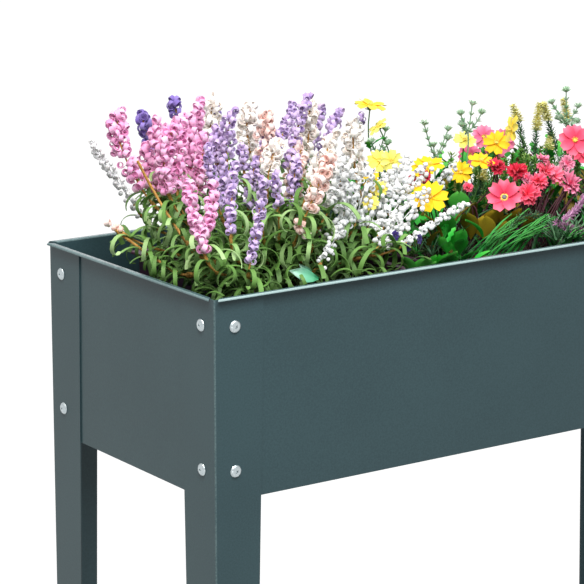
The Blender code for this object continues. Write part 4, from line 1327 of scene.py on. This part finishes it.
for name, rows, shapes, material, places, lean, nodes in (
        ("broad_leaves", LEAF_ROWS, [oval_leaf, broad_leaf, long_leaf, lobed_leaf], leaf_green,
         broad, (0.2, 1.0), ["middle_leaves", "right_leaves"]),
        ("olive_leaves", OLIVE_ROWS, [oval_leaf, long_leaf, lobed_leaf], olive_green, olive,
         (0.2, 1.0), ()),
        ("grass_blades", GRASS_ROWS, [grass_blade, short_grass], grass_green, tall, (0.1, 0.5), ()),
        ("dark_needle_tufts", NEEDLE_ROWS, [needle_tuft], needle_green, needle_feet,
         (0.0, 0.5), ())):
    bm = new_planting()
    for shape, foot, bearing, tilt, size in rows:
        add_copy(bm, shape, leaf_place(at(foot), math.radians(bearing), tilt, size),
                 rng.uniform(0.6, 1.0))
    for place, bearing in places:
        add_leaf(rng, bm, shapes, place, bearing, rng.uniform(*lean))
    finish_piece(name, bm, material, nodes)

# the covered wires of all the flowers and greenery, and the calyxes under the flowers
even_wires("green_wire_stems", wire_rows, 10, stem_green)
even_wires("frosted_wire_stems", frosted_rows, 6, frosted)
even_wires("maroon_wire_stems", maroon_rows, 8, maroon)
finish_piece("flower_calyxes", calyxes, stem_green)

# ---- Studio -------------------------------------------------------------------------------------
# A long lens from the front left, two wide suns, three softboxes, soft light all round and a
# white floor.
camera_data = bpy.data.cameras.new("camera")
camera_data.lens = 168.18
camera_data.sensor_width = 36
camera_data.clip_end = 50
bpy.context.scene.camera = add_object("camera", camera_data, (-2.2471, -2.8914, 1.5663),
                                      (90 - 13.28, 0, -34.67))

for name, strength, colour, turn in (
        ("cool_sun_right", 1.4, (0.94, 0.98, 1.0), (27, 0, 30)),
        ("warm_sun_left", 1.9, (1.0, 0.92, 0.84), (17, 0, -88))):
    light = bpy.data.lights.new(name, "SUN")
    light.energy = strength
    light.color = colour
    light.angle = math.radians(13)
    add_object(name, light, turn=turn)

# one softbox close above the front left corner, a low one for the folds, and one behind the bed
# that skims the rim and the flowers' edges
for name, size, power, place, turn in (
        ("high_softbox", (0.8, 0.8), 25, (-1.05, -1.15, 2.15), (47.9, 0, -36)),
        ("low_softbox", (0.4, 0.3), 1.5, (-1.5, -2.2, 0.16), (96, 0, -30)),
        ("back_softbox", (1.6, 0.5), 7, (1.50, 2.10, 1.45), (76.9, 0, 144.5))):
    light = bpy.data.lights.new(name, "AREA")
    light.shape = "RECTANGLE"
    light.size, light.size_y = size
    light.energy = power
    add_object(name, light, place, turn).visible_camera = False


def seen_directly(tree):
    """One where a ray comes from the camera, a reflection or glass, and zero where light falls."""
    path = add_node(tree, "LightPath")
    seen = path.outputs["Is Camera Ray"]
    for ray in ("Is Glossy Ray", "Is Transmission Ray"):
        seen = add_node(tree, "Math", {0: seen, 1: path.outputs[ray]},
                        operation="MAXIMUM").outputs[0]
    return seen


white_floor, tree, shader = start_material("white_floor", Roughness=0.9)
shader.inputs["Base Color"].default_value = srgb("464646")
shader.inputs["Emission Color"].default_value = (1, 1, 1, 1)
glow = add_node(tree, "Math", {0: seen_directly(tree), 1: 0.93}, operation="MULTIPLY")
tree.links.new(glow.outputs[0], shader.inputs["Emission Strength"])
bm = bmesh.new()
bmesh.ops.create_grid(bm, x_segments=1, y_segments=1, size=20)
mesh = keep_mesh("studio_floor", bm)
mesh.materials.append(white_floor)
add_object("studio_floor", mesh)

world = bpy.data.worlds.new("studio")
bpy.context.scene.world = world
world.use_nodes = True
tree = world.node_tree
tree.nodes.clear()
soft = add_node(tree, "Background", {"Color": (0.95, 0.98, 1.0, 1), "Strength": 0.40})
white = add_node(tree, "Background", {"Color": (1, 1, 1, 1), "Strength": 1.0})
both = add_node(tree, "MixShader", {0: seen_directly(tree), 1: soft.outputs[0],
                                    2: white.outputs[0]})
add_node(tree, "OutputWorld", {"Surface": both.outputs[0]})
bpy.context.scene.view_settings.view_transform = "Standard"
